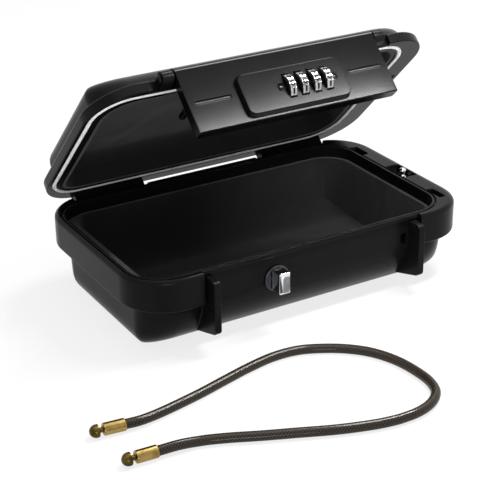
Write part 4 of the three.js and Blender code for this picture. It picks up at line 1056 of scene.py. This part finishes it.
def flap_outline():
    """The flap's section: a knuckle round its pin at the top and small rounds at the bottom."""
    outline = [(FLAP_FRONT + 0.7, FLAP_BOTTOM)]
    outline += arc(FLAP_BACK - 0.8, FLAP_BOTTOM + 0.8, 0.8, -90, 0, 4)
    outline += [(FLAP_BACK, FLAP_Z - 3)]
    outline += arc(FLAP_Y, FLAP_Z, KNUCKLE_RADIUS, 0, 180, 24)
    return outline + arc(FLAP_FRONT + 0.7, FLAP_BOTTOM + 0.7, 0.7, 180, 260, 6)


def rounded_plan():
    """The flap seen from above, with small rounds at its front corners and larger ones at the back."""
    back, front = 2.6, 0.7
    plan = arc(FLAP_HALF - back, FLAP_BACK - back, back, 0, 90, 8)
    plan += arc(-FLAP_HALF + back, FLAP_BACK - back, back, 90, 180, 8)
    plan += arc(-FLAP_HALF + front, FLAP_FRONT + front, front, 180, 270, 4)
    plan += arc(FLAP_HALF - front, FLAP_FRONT + front, front, 270, 360, 4)
    return plan


def capsule(x1, x2, z, half, y):
    points = arc(x2 - half, z, half, -90, 90, 10) + arc(x1 + half, z, half, 90, 270, 10)
    return [(u, y, v) for u, v in points]


def grip_groove(side):
    """A long groove with a round bottom. Its last ring stops short of that, so that it keeps some width."""
    x1, x2 = sorted((side * 40.7, side * 65.4))
    turns = [step / 6 * math.radians(82) for step in range(7)]
    levels = [(-1, 0.1), (0, 0.1)]
    levels += [(0.1 + GROOVE_DEPTH * math.sin(a), GROOVE_HALF * (math.cos(a) - 1)) for a in turns]
    return loft([
        capsule(x1 - grow, x2 + grow, GROOVE_Z, GROOVE_HALF + grow, FLAP_FRONT + depth)
        for depth, grow in levels
    ])


def side_hook(side):
    outline = [(FLAP_BACK - 1, 37), (-63.4, 37), (-62.4, 38), (-62.4, 40.5), (FLAP_BACK - 1, 40.5)]
    inner, outer = sorted((side * 66.6, side * 69.6))
    return prism(outline, along_x, inner, outer, 0.35)


def flap_solid():
    """Hollow from behind, open in the middle of its knuckle for the lid's own and in front for the lock."""
    hollow_bottom, hollow_top, hollow_front = FLAP_BOTTOM + 2.5, FLAP_Z - 5, FLAP_FRONT + 2.4
    hollow_half, gap_half = 67.1, 35.2
    solid = combine(
        prism(flap_outline(), along_x, -FLAP_HALF, FLAP_HALF),
        ("INTERSECT", prism(rounded_plan(), along_z, FLAP_BOTTOM - 1, FLAP_Z + 6)),
    )
    solid = cut(
        solid,
        block(-hollow_half, hollow_half, hollow_front, FLAP_BACK + 1, hollow_bottom, hollow_top, 0.8),
        block(-gap_half, gap_half, FLAP_Y, FLAP_BACK + 2, hollow_top - 1, FLAP_Z + 5.6),
        block(-gap_half, gap_half, hollow_front, FLAP_Y + 1, hollow_top - 1, FLAP_Z),
        bar_x(3.4, -gap_half, gap_half, FLAP_Y, FLAP_Z),
        block(-33, 33.2, FLAP_FRONT - 1, hollow_front + 1, 27.5, 48.8),
        bar_x(PIN_HOLE, -FLAP_HALF - 1, FLAP_HALF + 1, FLAP_Y, FLAP_Z),
        grip_groove(1), grip_groove(-1),
    )
    solid = join(
        solid, side_hook(1), side_hook(-1),
        *[bar_y(3, x, hollow_front - 1, FLAP_BACK - 1.3, z, 0.3, 24) for x, z in SCREW_PLACES],
    )
    return cut(solid, *[bar_y(SCREW_HOLE, x, hollow_front + 1, FLAP_BACK, z, 0, 20) for x, z in SCREW_PLACES])


finish_piece(
    flap_solid(), "flap_shell_moulded", "flap", "shell", flap_black, open_lid, stands_for=("flap_shell",),
)

# %% [markdown]
# ## Lock cover
# The cover is a shallow raised plate with flared sides. Four tall windows show the number wheels, and a round
# dimple beside the first and the last one marks the row. It has the flap's smoother plastic, so that the long
# reflection down the flap's face runs on across it.

# %% The cover
COVER_FACE = -83.0
COVER_INNER = -81.8
COVER_LEFT, COVER_RIGHT = -35.6, 35.8
COVER_LOW, COVER_HIGH = 22.9, 49.4
COVER_CORNER = 5.0
WHEEL_X = [-3.9, 4.7, 13.3, 21.9]
WHEEL_Y, WHEEL_Z = -80.0, 36.4
WHEEL_RADIUS, WHEEL_WIDTH = 7.8, 4.2
WINDOW_HALF = 2.45
SHAFT_ROOM = 1.8
DIMPLE_RADIUS, DIMPLE_DEPTH = 2.7, 0.9


def upright_ring(y, left, right, low, high, radius):
    """A rounded rectangle that stands upright, facing the front."""
    return [(x, y, v) for x, v, _ in even_ring(0, left, right, low, high, radius)]


def cover_ring(y, grow):
    return upright_ring(
        y, COVER_LEFT - grow, COVER_RIGHT + grow, COVER_LOW - grow, COVER_HIGH + grow, COVER_CORNER + grow,
    )


def cover_skin():
    soft = 0.8
    edge = [(COVER_FACE + soft * (1 - math.sin(a)), -soft * (1 - math.cos(a))) for a in quarter_turn(5)]
    return loft([cover_ring(FLAP_FRONT - 0.3, 1.0)] + [cover_ring(y, grow) for y, grow in edge])


def window_cut(x):
    """A window just taller than the stretch of the wheel that stands in it."""
    half = math.sqrt(WHEEL_RADIUS ** 2 - (WHEEL_Y - COVER_INNER) ** 2) + 0.3
    levels = ((-1, 0.25), (0, 0.25), (0.25, 0), (2.5, 0))
    return loft([
        upright_ring(
            COVER_FACE + depth, x - WINDOW_HALF - grow, x + WINDOW_HALF + grow,
            WHEEL_Z - half - grow, WHEEL_Z + half + grow, 0.4 + grow,
        )
        for depth, grow in levels
    ])


def dimple(x):
    levels = [(-1, 1.0), (0, 1.0)]
    levels += [(DIMPLE_DEPTH * math.sin(a), math.cos(a)) for a in (0.35, 0.7, 1.05, 1.4)]
    return loft([
        [(u, COVER_FACE + y, v) for u, v in circle(x, WHEEL_Z, DIMPLE_RADIUS * share, 36)]
        for y, share in levels
    ])


def bearing_walls():
    """Walls between the wheels, with a slot in each from behind that takes the shaft."""
    left, right = WHEEL_X[0] - WINDOW_HALF - 1.7, WHEEL_X[-1] + WINDOW_HALF + 1.7
    back = COVER_INNER + 5.8
    walls = cut(
        block(left, right, COVER_INNER - 0.5, back, 32, 46.7),
        *[block(x - WINDOW_HALF, x + WINDOW_HALF, COVER_INNER - 0.6, back + 1, 0, 60) for x in WHEEL_X],
    )
    shaft_room = join(
        block(left - 1, right + 1, WHEEL_Y, back + 1, WHEEL_Z - SHAFT_ROOM, WHEEL_Z + SHAFT_ROOM),
        bar_x(SHAFT_ROOM, left - 1, right + 1, WHEEL_Y, WHEEL_Z),
    )
    return cut(walls, shaft_room)


def lock_cover_solid():
    inside = loft([cover_ring(y, -1.2) for y in (COVER_INNER, FLAP_FRONT + 1)])
    solid = join(cut(cover_skin(), inside), bearing_walls())
    return cut(solid, *[window_cut(x) for x in WHEEL_X], dimple(-9.4), dimple(27.4))


finish_piece(
    lock_cover_solid(), "lock_cover_moulded", "flap", "shell", flap_black, open_lid,
    stands_for=("lock_cover",),
)

# %% [markdown]
# ## Metals
# Eight finishes are used here. The latch stud and the keeper pin are chromed zinc, a mirror with a faint
# haze. The wheels were polished in a barrel before they were chromed, which leaves them a little duller, and
# the stud's front face is chrome over a blasted surface. The rear pin, screws, springs and bolt are zinc
# plated steel. The lock's back plate and the stud's collar are black nickel on steel, and the flap's pin is
# black oxide. The cable ends are turned brass, the mushroom tips darker with age. One function makes them
# all, because they differ only in colour, polish and the direction of their fine scratches. Real scratches
# are finer than a pixel, so they are drawn 0.35 mm wide.

# %% Materials of the metals
SCRATCH_WIDTH = 0.35


def worked_metal(name, dark, light, rough, stretch, depth=0.02):
    """Metal with fine scratches, depth mm deep, along the axis whose factor in stretch is small."""
    material, tree = new_tree(name)
    place = add_node(tree, "ShaderNodeTexCoord")
    along = add_node(tree, "ShaderNodeMapping", inputs={"Vector": place.outputs["Object"], "Scale": stretch})
    scratches = add_node(tree, "ShaderNodeTexNoise", inputs={
        "Vector": along.outputs[0], "Scale": 1 / (SCRATCH_WIDTH * MM), "Detail": 3.0, "Roughness": 0.6,
    })
    stains = add_node(tree, "ShaderNodeTexNoise", inputs={
        "Vector": place.outputs["Object"], "Scale": 160.0, "Detail": 4.0,
    })
    tone = add_node(tree, "ShaderNodeValToRGB", inputs={"Fac": stains.outputs["Fac"]}, ramp=(
        (0.35, linear(dark)), (0.65, linear(light)),
    ))
    polish = add_node(tree, "ShaderNodeMapRange", inputs={
        "Value": scratches.outputs["Fac"], "From Min": 0.3, "From Max": 0.7,
        "To Min": rough * 0.75, "To Max": rough * 1.3,
    })
    bump = add_node(tree, "ShaderNodeBump", inputs={
        "Height": scratches.outputs["Fac"], "Strength": 0.3, "Distance": depth * MM,
    })
    shader = add_node(tree, "ShaderNodeBsdfPrincipled", inputs={
        "Base Color": tone.outputs["Color"], "Metallic": 1.0, "Roughness": polish.outputs[0],
        "Normal": bump.outputs[0],
    })
    finish_material(tree, shader)
    return material


chrome = worked_metal("polished_chromed_zinc", "#d2d4d6", "#eceded", 0.07, (1, 1, 1), depth=0.004)
satin_chrome = worked_metal("satin_chromed_zinc", "#838587", "#97999b", 0.3, (0.15, 1, 1))
worn_chrome = worked_metal(
    "barrel_polished_chromed_zinc", "#a2a4a6", "#c2c4c5", 0.13, (0.15, 1, 1), depth=0.006,
)
plated_steel = worked_metal("zinc_plated_steel", "#9d9fa2", "#bfc1c2", 0.3, (0.1, 1, 1))
black_nickel = worked_metal("black_nickel_on_steel", "#434447", "#4f5054", 0.32, (1, 1, 0.15))
black_oxide = worked_metal("black_oxide_on_steel", "#1d1d1f", "#2b2b2d", 0.35, (0.1, 1, 1))
turned_brass = worked_metal("turned_brass", "#7f6838", "#a18851", 0.2, (1, 0.15, 1))
aged_brass = worked_metal("aged_brass", "#3b3015", "#5f4e28", 0.26, (1, 0.2, 1))

# These seven pieces keep their solids and only get a material
kept_solids = {name: plated_steel for name in ("detent_spring", "code_set_lever", "dial_shaft")}
kept_solids.update({f"clutch_sleeve_{number}": turned_brass for number in range(1, 5)})
for name, metal in kept_solids.items():
    nodes[name].data.materials.clear()
    nodes[name].data.materials.append(metal)
print("solids that keep their shape", sorted(kept_solids))

# %% [markdown]
# ## Latch stud and its collar
# The stud is a die cast post that the lock's bolt catches. Its sides are bright chrome, its wide front face
# is satin between bevels, and a notch in its right side takes the bolt. It stands on a dished collar. Faces
# that point straight ahead get the satin finish by their direction, which is how the real part is masked and
# blasted.

# %% Stud, collar and keeper pin
STUD_FACE = -80.2


def lathe(profile, place, sides=48):
    """Turns a profile of (radius, height) pairs about an axis. place(u, v, w) puts its points."""
    points, faces, rows = [], [], []
    for radius, height in profile:
        if radius < 1e-6:
            rows.append([len(points)] * sides)
            points.append(place(0, 0, height))
        else:
            rows.append(list(range(len(points), len(points) + sides)))
            points += [place(u, v, height) for u, v in circle(0, 0, radius, sides)]
    for low, high in zip(rows, rows[1:]):
        for i in range(sides):
            corners = (low[i], low[(i + 1) % sides], high[(i + 1) % sides], high[i])
            face = tuple(dict.fromkeys(corners))
            if len(face) > 2:
                faces.append(face)
    return new_solid(points, faces)


def stud_solid():
    x1, x2, z1, z2 = -30.9, -23.1, 29.1, 42.9
    levels = [(-70.3, 0.0), (-78.5, 0.0), (-78.62, 0.06), (STUD_FACE + 0.15, 1.42), (STUD_FACE, 1.6)]
    post = loft([upright_ring(y, x1 + b, x2 - b, z1 + b, z2 - b, 1.0) for y, b in levels])
    shank = bar_y(4, STUD_X, -71.3, -62.1, STUD_Z, 0.3)
    return cut(join(post, shank), block(-25.6, -22.1, -77.3, -74.3, 30.7, 38.9, 0.15))


latch_stud = finish_piece(
    stud_solid(), "latch_stud_cast", "base", "chrome", chrome, stands_for=("latch_stud",), crease=20,
)
latch_stud.data.materials.append(satin_chrome)
for face in latch_stud.data.polygons:
    if face.normal.y < -0.98 and face.center.y < (STUD_FACE + 0.7) * MM:
        face.material_index = 1

about_stud = about_y(STUD_X, STUD_Z)
collar_profile = [
    (SHANK_HOLE, -69.0), (SHANK_HOLE, -69.55), (6.2, -69.45), (6.9, -69.75), (7.4, -70.0), (8.1, -70.0),
    (8.4, -69.8), (8.5, -69.5), (8.5, -68.95), (8.3, -68.8), (SHANK_HOLE, -68.8), (SHANK_HOLE, -69.0),
]
finish_piece(
    lathe(collar_profile, about_stud, 64), "stud_collar_dished", "base", "dark_steel",
    black_nickel, stands_for=("stud_collar",),
)

keeper_profile = [
    (0, 40.3), (2.3, 40.3), (2.5, 40.5), (2.5, 50.2), (1.7, 50.9), (1.7, 52.0), (2.3, 52.5), (2.5, 53.2),
]
keeper_profile += [(2.5 * math.cos(a), 53.4 + 2.0 * math.sin(a)) for a in (0.15, 0.4, 0.7, 1.0, 1.3)]
keeper_profile += [(0, 55.4)]
finish_piece(
    lathe(keeper_profile, about_z(112.6, -6.2), 40), "keeper_pin_turned", "base", "chrome", chrome,
    stands_for=("cable_keeper_pin",), crease=40,
)

# %% The flap's hinge pin
pin_head = [(1.5, 78.3), (2.9, 78.3), (3.0, 78.5), (2.95, 79.0), (2.6, 79.5), (1.9, 79.8), (0, 79.9)]
pin_profile = [(radius, -x) for radius, x in reversed(pin_head)] + pin_head
finish_piece(
    lathe(pin_profile, about_x(FLAP_Y, FLAP_Z), 36), "flap_hinge_pin_turned", "lid", "dark_steel",
    black_oxide, open_lid, stands_for=("flap_hinge_pin",), crease=40,
)

# %% [markdown]
# ## Cable ends
# A brass ferrule is crimped over each end of the cable, and a turned mushroom tip stands on its neck. The tip
# locks behind the keeper pin inside the base. Both are turned parts, so each is a profile spun about the
# cable's own direction at that end.

# %% Ferrules and tips
def along_cable(end, outward, start):
    """Places lathe points on the line that leaves the cable at one of its ends."""
    side = outward.cross(Vector((0, 0, 1))).normalized()
    top = side.cross(outward)

    def place(u, v, w):
        return tuple(end + side * u + top * v + outward * (start + w))
    return place


FERRULE_START, TIP_START = 0.3, 13.4
ferrule_profile = [
    (0, 0), (2.95, 0), (3.4, 0.15), (3.65, 0.5), (3.65, 12.2), (3.5, 12.6), (3.2, 12.75), (2.9, 12.8),
    (2.4, 12.8), (2.2, 12.4), (0, 12.4),
]
tip_profile = [
    (0, -0.4), (1.5, -0.4), (1.5, 1.8), (1.65, 2.0), (3.3, 2.15), (3.7, 2.4), (3.8, 2.8), (3.8, 3.5),
]
tip_profile += [(3.8 * math.cos(a), 3.5 + 4.0 * math.sin(a)) for a in (0.2, 0.4, 0.6, 0.8, 1.0, 1.15)]
tip_profile += [(1.25, 7.35), (0.9, 7.4), (0, 7.4)]
for letter, end, outward in (
    ("a", cable_places[0], -cable_directions[0]), ("b", cable_places[-1], cable_directions[-1]),
):
    for profile, start, name, slot, metal, stands_for in (
        (ferrule_profile, FERRULE_START, f"ferrule_{letter}_crimped", "brass", turned_brass, "cable_ferrule"),
        (tip_profile, TIP_START, f"tip_{letter}_turned", "dark_brass", aged_brass, "cable_tip"),
    ):
        finish_piece(
            lathe(profile, along_cable(end, outward, start), 40), name, "base", slot, metal,
            stands_for=(f"{stands_for}_{letter}",), crease=30,
        )

# %% [markdown]
# The points of the cable's route, in metres.

[tuple(p * MM) for p in cable_places]

# %% [markdown]
# ## Number wheels
# Each wheel is a chromed ring with the digits 0 to 9 printed on its rim in black enamel, and a small grip
# notch between each two digits. Notches repeat round an axis, so Geometry Nodes places them: a circle of
# points, a bar on each point turned to face outwards, and one boolean that cuts them all from the blank. The
# digits are text, bent round the rim in code, because a Geometry Nodes tree can't bend a filled letter
# cleanly.

# %% Geometry Nodes tree for the notches
def new_geometry_tree(name, sockets):
    """A tree with the named inputs after its geometry and a material as the last one. Returns the tree, the
    identifiers of its inputs and the node that hands them out."""
    tree = bpy.data.node_groups.new(name, "GeometryNodeTree")
    tree.interface.new_socket("Geometry", in_out="INPUT", socket_type="NodeSocketGeometry")
    tree.interface.new_socket("Geometry", in_out="OUTPUT", socket_type="NodeSocketGeometry")
    keys = {}
    for label, kind in sockets + (("Material", "NodeSocketMaterial"),):
        keys[label] = tree.interface.new_socket(label, in_out="INPUT", socket_type=kind).identifier
    return tree, keys, add_node(tree, "NodeGroupInput")


def end_tree(tree, given, shape):
    """Makes the instances real, gives the result its material and sends it out."""
    real = add_node(tree, "GeometryNodeRealizeInstances", inputs={"Geometry": shape})
    coloured = add_node(tree, "GeometryNodeSetMaterial", inputs={
        "Geometry": real.outputs[0], "Material": given.outputs["Material"],
    })
    add_node(tree, "NodeGroupOutput", inputs={"Geometry": coloured.outputs[0]})


def notch_ring_tree():
    tree, keys, given = new_geometry_tree("grip_notches", (
        ("Count", "NodeSocketInt"), ("Radius", "NodeSocketFloat"), ("Notch Width", "NodeSocketFloat"),
        ("Wheel Width", "NodeSocketFloat"),
    ))
    circle_points = add_node(tree, "GeometryNodeMeshCircle", inputs={
        "Vertices": given.outputs["Count"], "Radius": given.outputs["Radius"],
    })
    place = add_node(tree, "GeometryNodeInputPosition")
    turned = add_node(tree, "FunctionNodeAlignRotationToVector", {"axis": "X"}, {"Vector": place.outputs[0]})
    size = add_node(tree, "ShaderNodeCombineXYZ", inputs={
        "X": given.outputs["Notch Width"], "Y": given.outputs["Notch Width"],
        "Z": given.outputs["Wheel Width"],
    })
    bar = add_node(tree, "GeometryNodeMeshCube", inputs={"Size": size.outputs[0]})
    on_edge = add_node(tree, "GeometryNodeTransform", inputs={
        "Geometry": bar.outputs["Mesh"], "Rotation": (0, 0, math.radians(45)),
    })
    bars = add_node(tree, "GeometryNodeInstanceOnPoints", inputs={
        "Points": circle_points.outputs[0], "Instance": on_edge.outputs[0], "Rotation": turned.outputs[0],
    })
    upright = add_node(tree, "GeometryNodeTransform", inputs={
        "Geometry": bars.outputs[0], "Rotation": (0, math.radians(90), 0),
    })
    real = add_node(tree, "GeometryNodeRealizeInstances", inputs={"Geometry": upright.outputs[0]})
    carved = add_node(tree, "GeometryNodeMeshBoolean", {"operation": "DIFFERENCE", "solver": "EXACT"}, {
        "Mesh 1": given.outputs["Geometry"],
    })
    tree.links.new(real.outputs[0], carved.inputs["Mesh 2"])
    end_tree(tree, given, carved.outputs["Mesh"])
    return tree, keys


def apply_tree(made, tree, keys, values):
    """Runs a tree on an object with these values and leaves a plain mesh."""
    modifier = made.modifiers.new("shape", "NODES")
    modifier.node_group = tree
    for label, value in values.items():
        modifier[keys[label]] = value
    mesh = plain_mesh(made)
    made.modifiers.clear()
    made.data = mesh
    return made


notch_tree, notch_keys = notch_ring_tree()
print("notch inputs", notch_keys)

# %% Blank of a wheel
def wheel_blank():
    """A ring with softly rounded rims and a plain bore, centred on its axis, which is X."""
    half, bore, edge = WHEEL_WIDTH / 2, 5.5, 0.35
    foot = WHEEL_RADIUS - edge
    rounds = [(foot + edge * math.sin(a), edge * (1 - math.cos(a))) for a in (0.4, 0.8, 1.2, 1.571)]
    profile = [(bore, -half), (foot, -half)]
    profile += [(radius, -half + inset) for radius, inset in rounds]
    profile += [(radius, half - inset) for radius, inset in reversed(rounds)]
    profile += [(foot, half), (bore, half), (bore, -half)]
    return lathe(profile, along_x, 120)


DIGIT_HEIGHT = 3.8
DIGIT_STRETCH, DIGIT_ROOM = 1.3, 3.3
DIGIT_SLICES = 10
FONT_SCALE, FONT_BOLDNESS = 1.38, 0.06
PAINT = 0.03
DIAL_PHASE = math.radians(6)


def glyph_strips(character):
    """A digit as a thin closed mesh in the plane, centred, and sliced so that it can bend."""
    curve = bpy.data.curves.new("digit", "FONT")
    curve.body = character
    curve.size = FONT_SCALE * DIGIT_HEIGHT
    curve.offset = FONT_BOLDNESS * DIGIT_HEIGHT
    curve.extrude = PAINT
    curve.align_x, curve.align_y = "CENTER", "CENTER"
    letter = add_object("digit", curve)
    mesh = plain_mesh(letter)
    bpy.data.objects.remove(letter)
    bpy.data.curves.remove(curve)
    with reshaped(mesh) as build:
        xs = [v.co.x for v in build.verts]
        ys = [v.co.y for v in build.verts]
        left, right, lowest, highest = min(xs), max(xs), min(ys), max(ys)
        stretch = min(DIGIT_STRETCH, DIGIT_ROOM / (right - left))
        for v in build.verts:
            v.co.x = (v.co.x - (left + right) / 2) * stretch
            v.co.y = (v.co.y - (lowest + highest) / 2) * DIGIT_HEIGHT / (highest - lowest)
        for i in range(1, DIGIT_SLICES):
            bmesh.ops.bisect_plane(
                build, geom=build.verts[:] + build.edges[:] + build.faces[:],
                plane_co=(0, DIGIT_HEIGHT * (i / DIGIT_SLICES - 0.5), 0), plane_no=(0, 1, 0),
            )
    return mesh


def number_ring():
    """All ten digits bent round the rim. Zero stands just below the front, the next ones follow downwards."""
    mesh = bpy.data.meshes.new("digits")
    with reshaped(mesh) as build:
        for value in range(10):
            flat = glyph_strips(str(value))
            start = len(build.verts)
            build.from_mesh(flat)
            bpy.data.meshes.remove(flat)
            build.verts.ensure_lookup_table()
            for v in build.verts[start:]:
                angle = math.pi + DIAL_PHASE + math.radians(36 * value) - v.co.y / WHEEL_RADIUS
                reach = WHEEL_RADIUS + v.co.z
                v.co = Vector((v.co.x, reach * math.cos(angle), reach * math.sin(angle)))
    return mesh


def digit_paint():
    material, tree = new_tree("black_enamel_print")
    place = add_node(tree, "ShaderNodeTexCoord")
    worn = add_node(tree, "ShaderNodeTexNoise", inputs={
        "Vector": place.outputs["Object"], "Scale": 900.0, "Detail": 3.0,
    })
    tone = add_node(tree, "ShaderNodeValToRGB", inputs={"Fac": worn.outputs["Fac"]}, ramp=(
        (0, linear("#060606")), (1, linear("#121212")),
    ))
    shader = add_node(tree, "ShaderNodeBsdfPrincipled", inputs={
        "Base Color": tone.outputs["Color"], "Roughness": 0.6, "Specular IOR Level": 0.05,
    })
    finish_material(tree, shader)
    return material


enamel = digit_paint()
digits_flat = number_ring()
print("digit faces", len(digits_flat.polygons))

# %% The four wheels
for number, x in enumerate(WHEEL_X, start=1):
    notched = apply_tree(wheel_blank(), notch_tree, notch_keys, {
        "Count": 10, "Radius": WHEEL_RADIUS + 0.12, "Notch Width": 0.62, "Wheel Width": WHEEL_WIDTH + 1,
        "Material": worn_chrome,
    })
    with reshaped(notched.data) as build:
        bmesh.ops.rotate(build, verts=build.verts[:], matrix=Matrix.Rotation(DIAL_PHASE, 3, "X"))
        metal_faces = len(build.faces)
        build.from_mesh(digits_flat)
        for index, face in enumerate(build.faces):
            face.material_index = int(index >= metal_faces)
    wheel = finish_piece(
        notched, f"dial_wheel_{number}_chromed", f"dial_{number}", "chrome", worn_chrome,
        open_lid @ Matrix.Translation((x, WHEEL_Y, WHEEL_Z)),
        stands_for=(f"dial_wheel_{number}",), crease=25, second=enamel,
    )
    print("painted faces", sum(1 for f in wheel.data.polygons if f.material_index == 1))

# %% [markdown]
# ## Back of the lock
# These pieces show from behind the open flap. The back plate is a steel pressing with a window for the stud,
# a slot for the code lever and three folded tongues, which guide the bolt and hold its spring. The stud's nut
# and the long rear pin belong to the base. All of them repeat the solids' places with softened edges.

# %% Nut and rear pin
def stud_nut_solid():
    front, back = -65.2, -62.2
    chamfers = [(0, front), (6.4, front), (7.5, front + 0.6), (7.5, back - 0.6), (6.4, back), (0, back)]
    solid = combine(
        prism(hexagon(NUT_ACROSS), along_y, front, back), ("INTERSECT", lathe(chamfers, about_stud, 60)),
    )
    return cut(solid, bar_y(SHANK_HOLE, STUD_X, front - 0.8, back + 1.2, STUD_Z))


finish_piece(
    stud_nut_solid(), "stud_nut_chamfered", "base", "steel", plated_steel,
    stands_for=("stud_nut",), crease=20,
)
hinge_profile = [(0, -92), (1.2, -92), (1.5, -91.7), (1.5, 91.7), (1.2, 92), (0, 92)]
finish_piece(
    lathe(hinge_profile, about_x(HINGE_Y, HINGE_Z), 32), "hinge_pin_ground", "base", "steel", plated_steel,
    stands_for=("hinge_pin",),
)

# %% Back plate and bolt
PLATE_FRONT, PLATE_BACK = -71.6, -70.6


def through_plate(x1, x2, z1, z2, radius):
    return loft([upright_ring(y, x1, x2, z1, z2, radius) for y in (PLATE_FRONT - 1, PLATE_BACK + 1)])


def back_plate_solid():
    levels = ((PLATE_FRONT, 0.2), (PLATE_FRONT + 0.2, 0), (PLATE_BACK - 0.2, 0), (PLATE_BACK, 0.2))
    plate = loft([upright_ring(y, -45 + b, 43 - b, 23.3 + b, 52.4 - b, 1.2) for y, b in levels])
    tongues = (
        block(-18.3, -11.35, -77, PLATE_BACK - 0.3, 28.7, 30.7, 0.25),
        block(-16.4, -11.35, -77, PLATE_BACK - 0.3, 41.3, 42.5, 0.25),
        block(-10.95, -9.45, -75.9, PLATE_BACK - 0.3, 43.6, 47.9, 0.25),
    )
    holes = [bar_y(SCREW_HOLE, x, PLATE_FRONT - 1, PLATE_BACK + 1, z, 0, 24) for x, z in SCREW_PLACES]
    stud_window = through_plate(-31.7, -22.3, 28.3, 44.2, 0.8)
    return cut(join(plate, *tongues), stud_window, through_plate(11.2, 18.8, 24, 26.8, 1.0), *holes)


def lock_bolt_solid():
    body = block(-22.3, -11.35, -77, -71.9, 31, 41, 0.4)
    tip = block(-25.3, -21.3, -77, -74.6, 31, 38.6, 0.4)
    lug = block(-13.35, -11.35, -81.5, -75, WHEEL_Z - 2.4, WHEEL_Z + 2.4, 0.3)
    ear = block(-21.5, -20, -75.9, -71.9, 40.5, 47.9, 0.3)
    return cut(join(body, tip, lug, ear), bar_x(SHAFT_ROOM, -15, -10, WHEEL_Y, WHEEL_Z))


finish_piece(
    back_plate_solid(), "lock_back_plate_pressed", "flap", "dark_steel", black_nickel, open_lid,
    stands_for=("lock_back_plate",),
)
finish_piece(
    lock_bolt_solid(), "lock_bolt_milled", "bolt", "steel", plated_steel, open_lid, stands_for=("lock_bolt",),
)

# %% [markdown]
# Four like screws hold the plate, so a second Geometry Nodes tree sets one screw on the points of a small
# grid and turns each by its own angle, as screws end up. A third tree winds the bolt's return spring along a
# spiral. The real spring shortens between the bolt and its seat when the bolt slides; here it is wound at one
# fixed length.

# %% Plate screws
def screw_grid_tree():
    tree, keys, given = new_geometry_tree("screws_on_grid", (
        ("Spacing X", "NodeSocketFloat"), ("Spacing Z", "NodeSocketFloat"), ("Seed", "NodeSocketInt"),
    ))
    grid = add_node(tree, "GeometryNodeMeshGrid", inputs={
        "Size X": given.outputs["Spacing X"], "Size Y": given.outputs["Spacing Z"],
        "Vertices X": 2, "Vertices Y": 2,
    })
    upright = add_node(tree, "GeometryNodeTransform", inputs={
        "Geometry": grid.outputs["Mesh"], "Rotation": (math.radians(90), 0, 0),
    })
    angle = add_node(tree, "FunctionNodeRandomValue", {"data_type": "FLOAT"}, {"Seed": given.outputs["Seed"]})
    half_turn = add_node(tree, "ShaderNodeMath", {"operation": "MULTIPLY"}, {0: angle.outputs[1], 1: math.pi})
    turn = add_node(tree, "ShaderNodeCombineXYZ", inputs={"Y": half_turn.outputs[0]})
    screws = add_node(tree, "GeometryNodeInstanceOnPoints", inputs={
        "Points": upright.outputs[0], "Instance": given.outputs["Geometry"], "Rotation": turn.outputs[0],
    })
    end_tree(tree, given, screws.outputs[0])
    return tree, keys


def screw_solid():
    profile = [
        (0, -75.7), (0.6, -75.7), (0.9, -75.3), (0.9, -70.3), (2.15, -70.3), (2.3, -70.15), (2.3, -69.85),
        (2.0, -69.6), (1.4, -69.45), (0.7, -69.4), (0, -69.4),
    ]
    return cut(lathe(profile, along_y, 28), block(-3, 3, -69.8, -69, -0.3, 0.3))


screw_tree, screw_keys = screw_grid_tree()
screw_xs, screw_zs = zip(*SCREW_PLACES)
screw_middle = ((min(screw_xs) + max(screw_xs)) / 2, 0, (min(screw_zs) + max(screw_zs)) / 2)
finish_piece(
    apply_tree(screw_solid(), screw_tree, screw_keys, {
        "Spacing X": float(max(screw_xs) - min(screw_xs)), "Spacing Z": max(screw_zs) - min(screw_zs),
        "Seed": 4, "Material": plated_steel,
    }),
    "plate_screws_slotted", "flap", "steel", plated_steel, open_lid @ Matrix.Translation(screw_middle),
    stands_for=tuple(f"plate_screw_{number}" for number in range(1, 5)),
)

# %% Return spring
SPRING_LEFT, SPRING_RIGHT = -19.4, -11.55


def coil_tree():
    tree, keys, given = new_geometry_tree("wound_spring", tuple(
        (label, "NodeSocketFloat") for label in ("Turns", "Length", "Coil Radius", "Wire Radius")
    ))
    path = add_node(tree, "GeometryNodeCurveSpiral", inputs={
        "Resolution": 28, "Rotations": given.outputs["Turns"], "Start Radius": given.outputs["Coil Radius"],
        "End Radius": given.outputs["Coil Radius"], "Height": given.outputs["Length"],
    })
    wire = add_node(tree, "GeometryNodeCurvePrimitiveCircle", inputs={
        "Resolution": 12, "Radius": given.outputs["Wire Radius"],
    })
    swept = add_node(tree, "GeometryNodeCurveToMesh", inputs={
        "Curve": path.outputs[0], "Profile Curve": wire.outputs[0], "Fill Caps": True,
    })
    lying = add_node(tree, "GeometryNodeTransform", inputs={
        "Geometry": swept.outputs[0], "Rotation": (0, math.radians(90), 0),
    })
    end_tree(tree, given, lying.outputs[0])
    return tree, keys


spring_tree, spring_keys = coil_tree()
bolt_spring = finish_piece(
    apply_tree(new_solid([(0, 0, 0)], []), spring_tree, spring_keys, {
        "Turns": 5.0, "Length": SPRING_RIGHT - SPRING_LEFT, "Coil Radius": 1.3, "Wire Radius": 0.3,
        "Material": plated_steel,
    }),
    "bolt_spring_wound", "flap", "steel", plated_steel,
    open_lid @ Matrix.Translation((SPRING_LEFT, -74.3, 46)),
    stands_for=("bolt_spring",), crease=60,
)
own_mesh(bolt_spring)
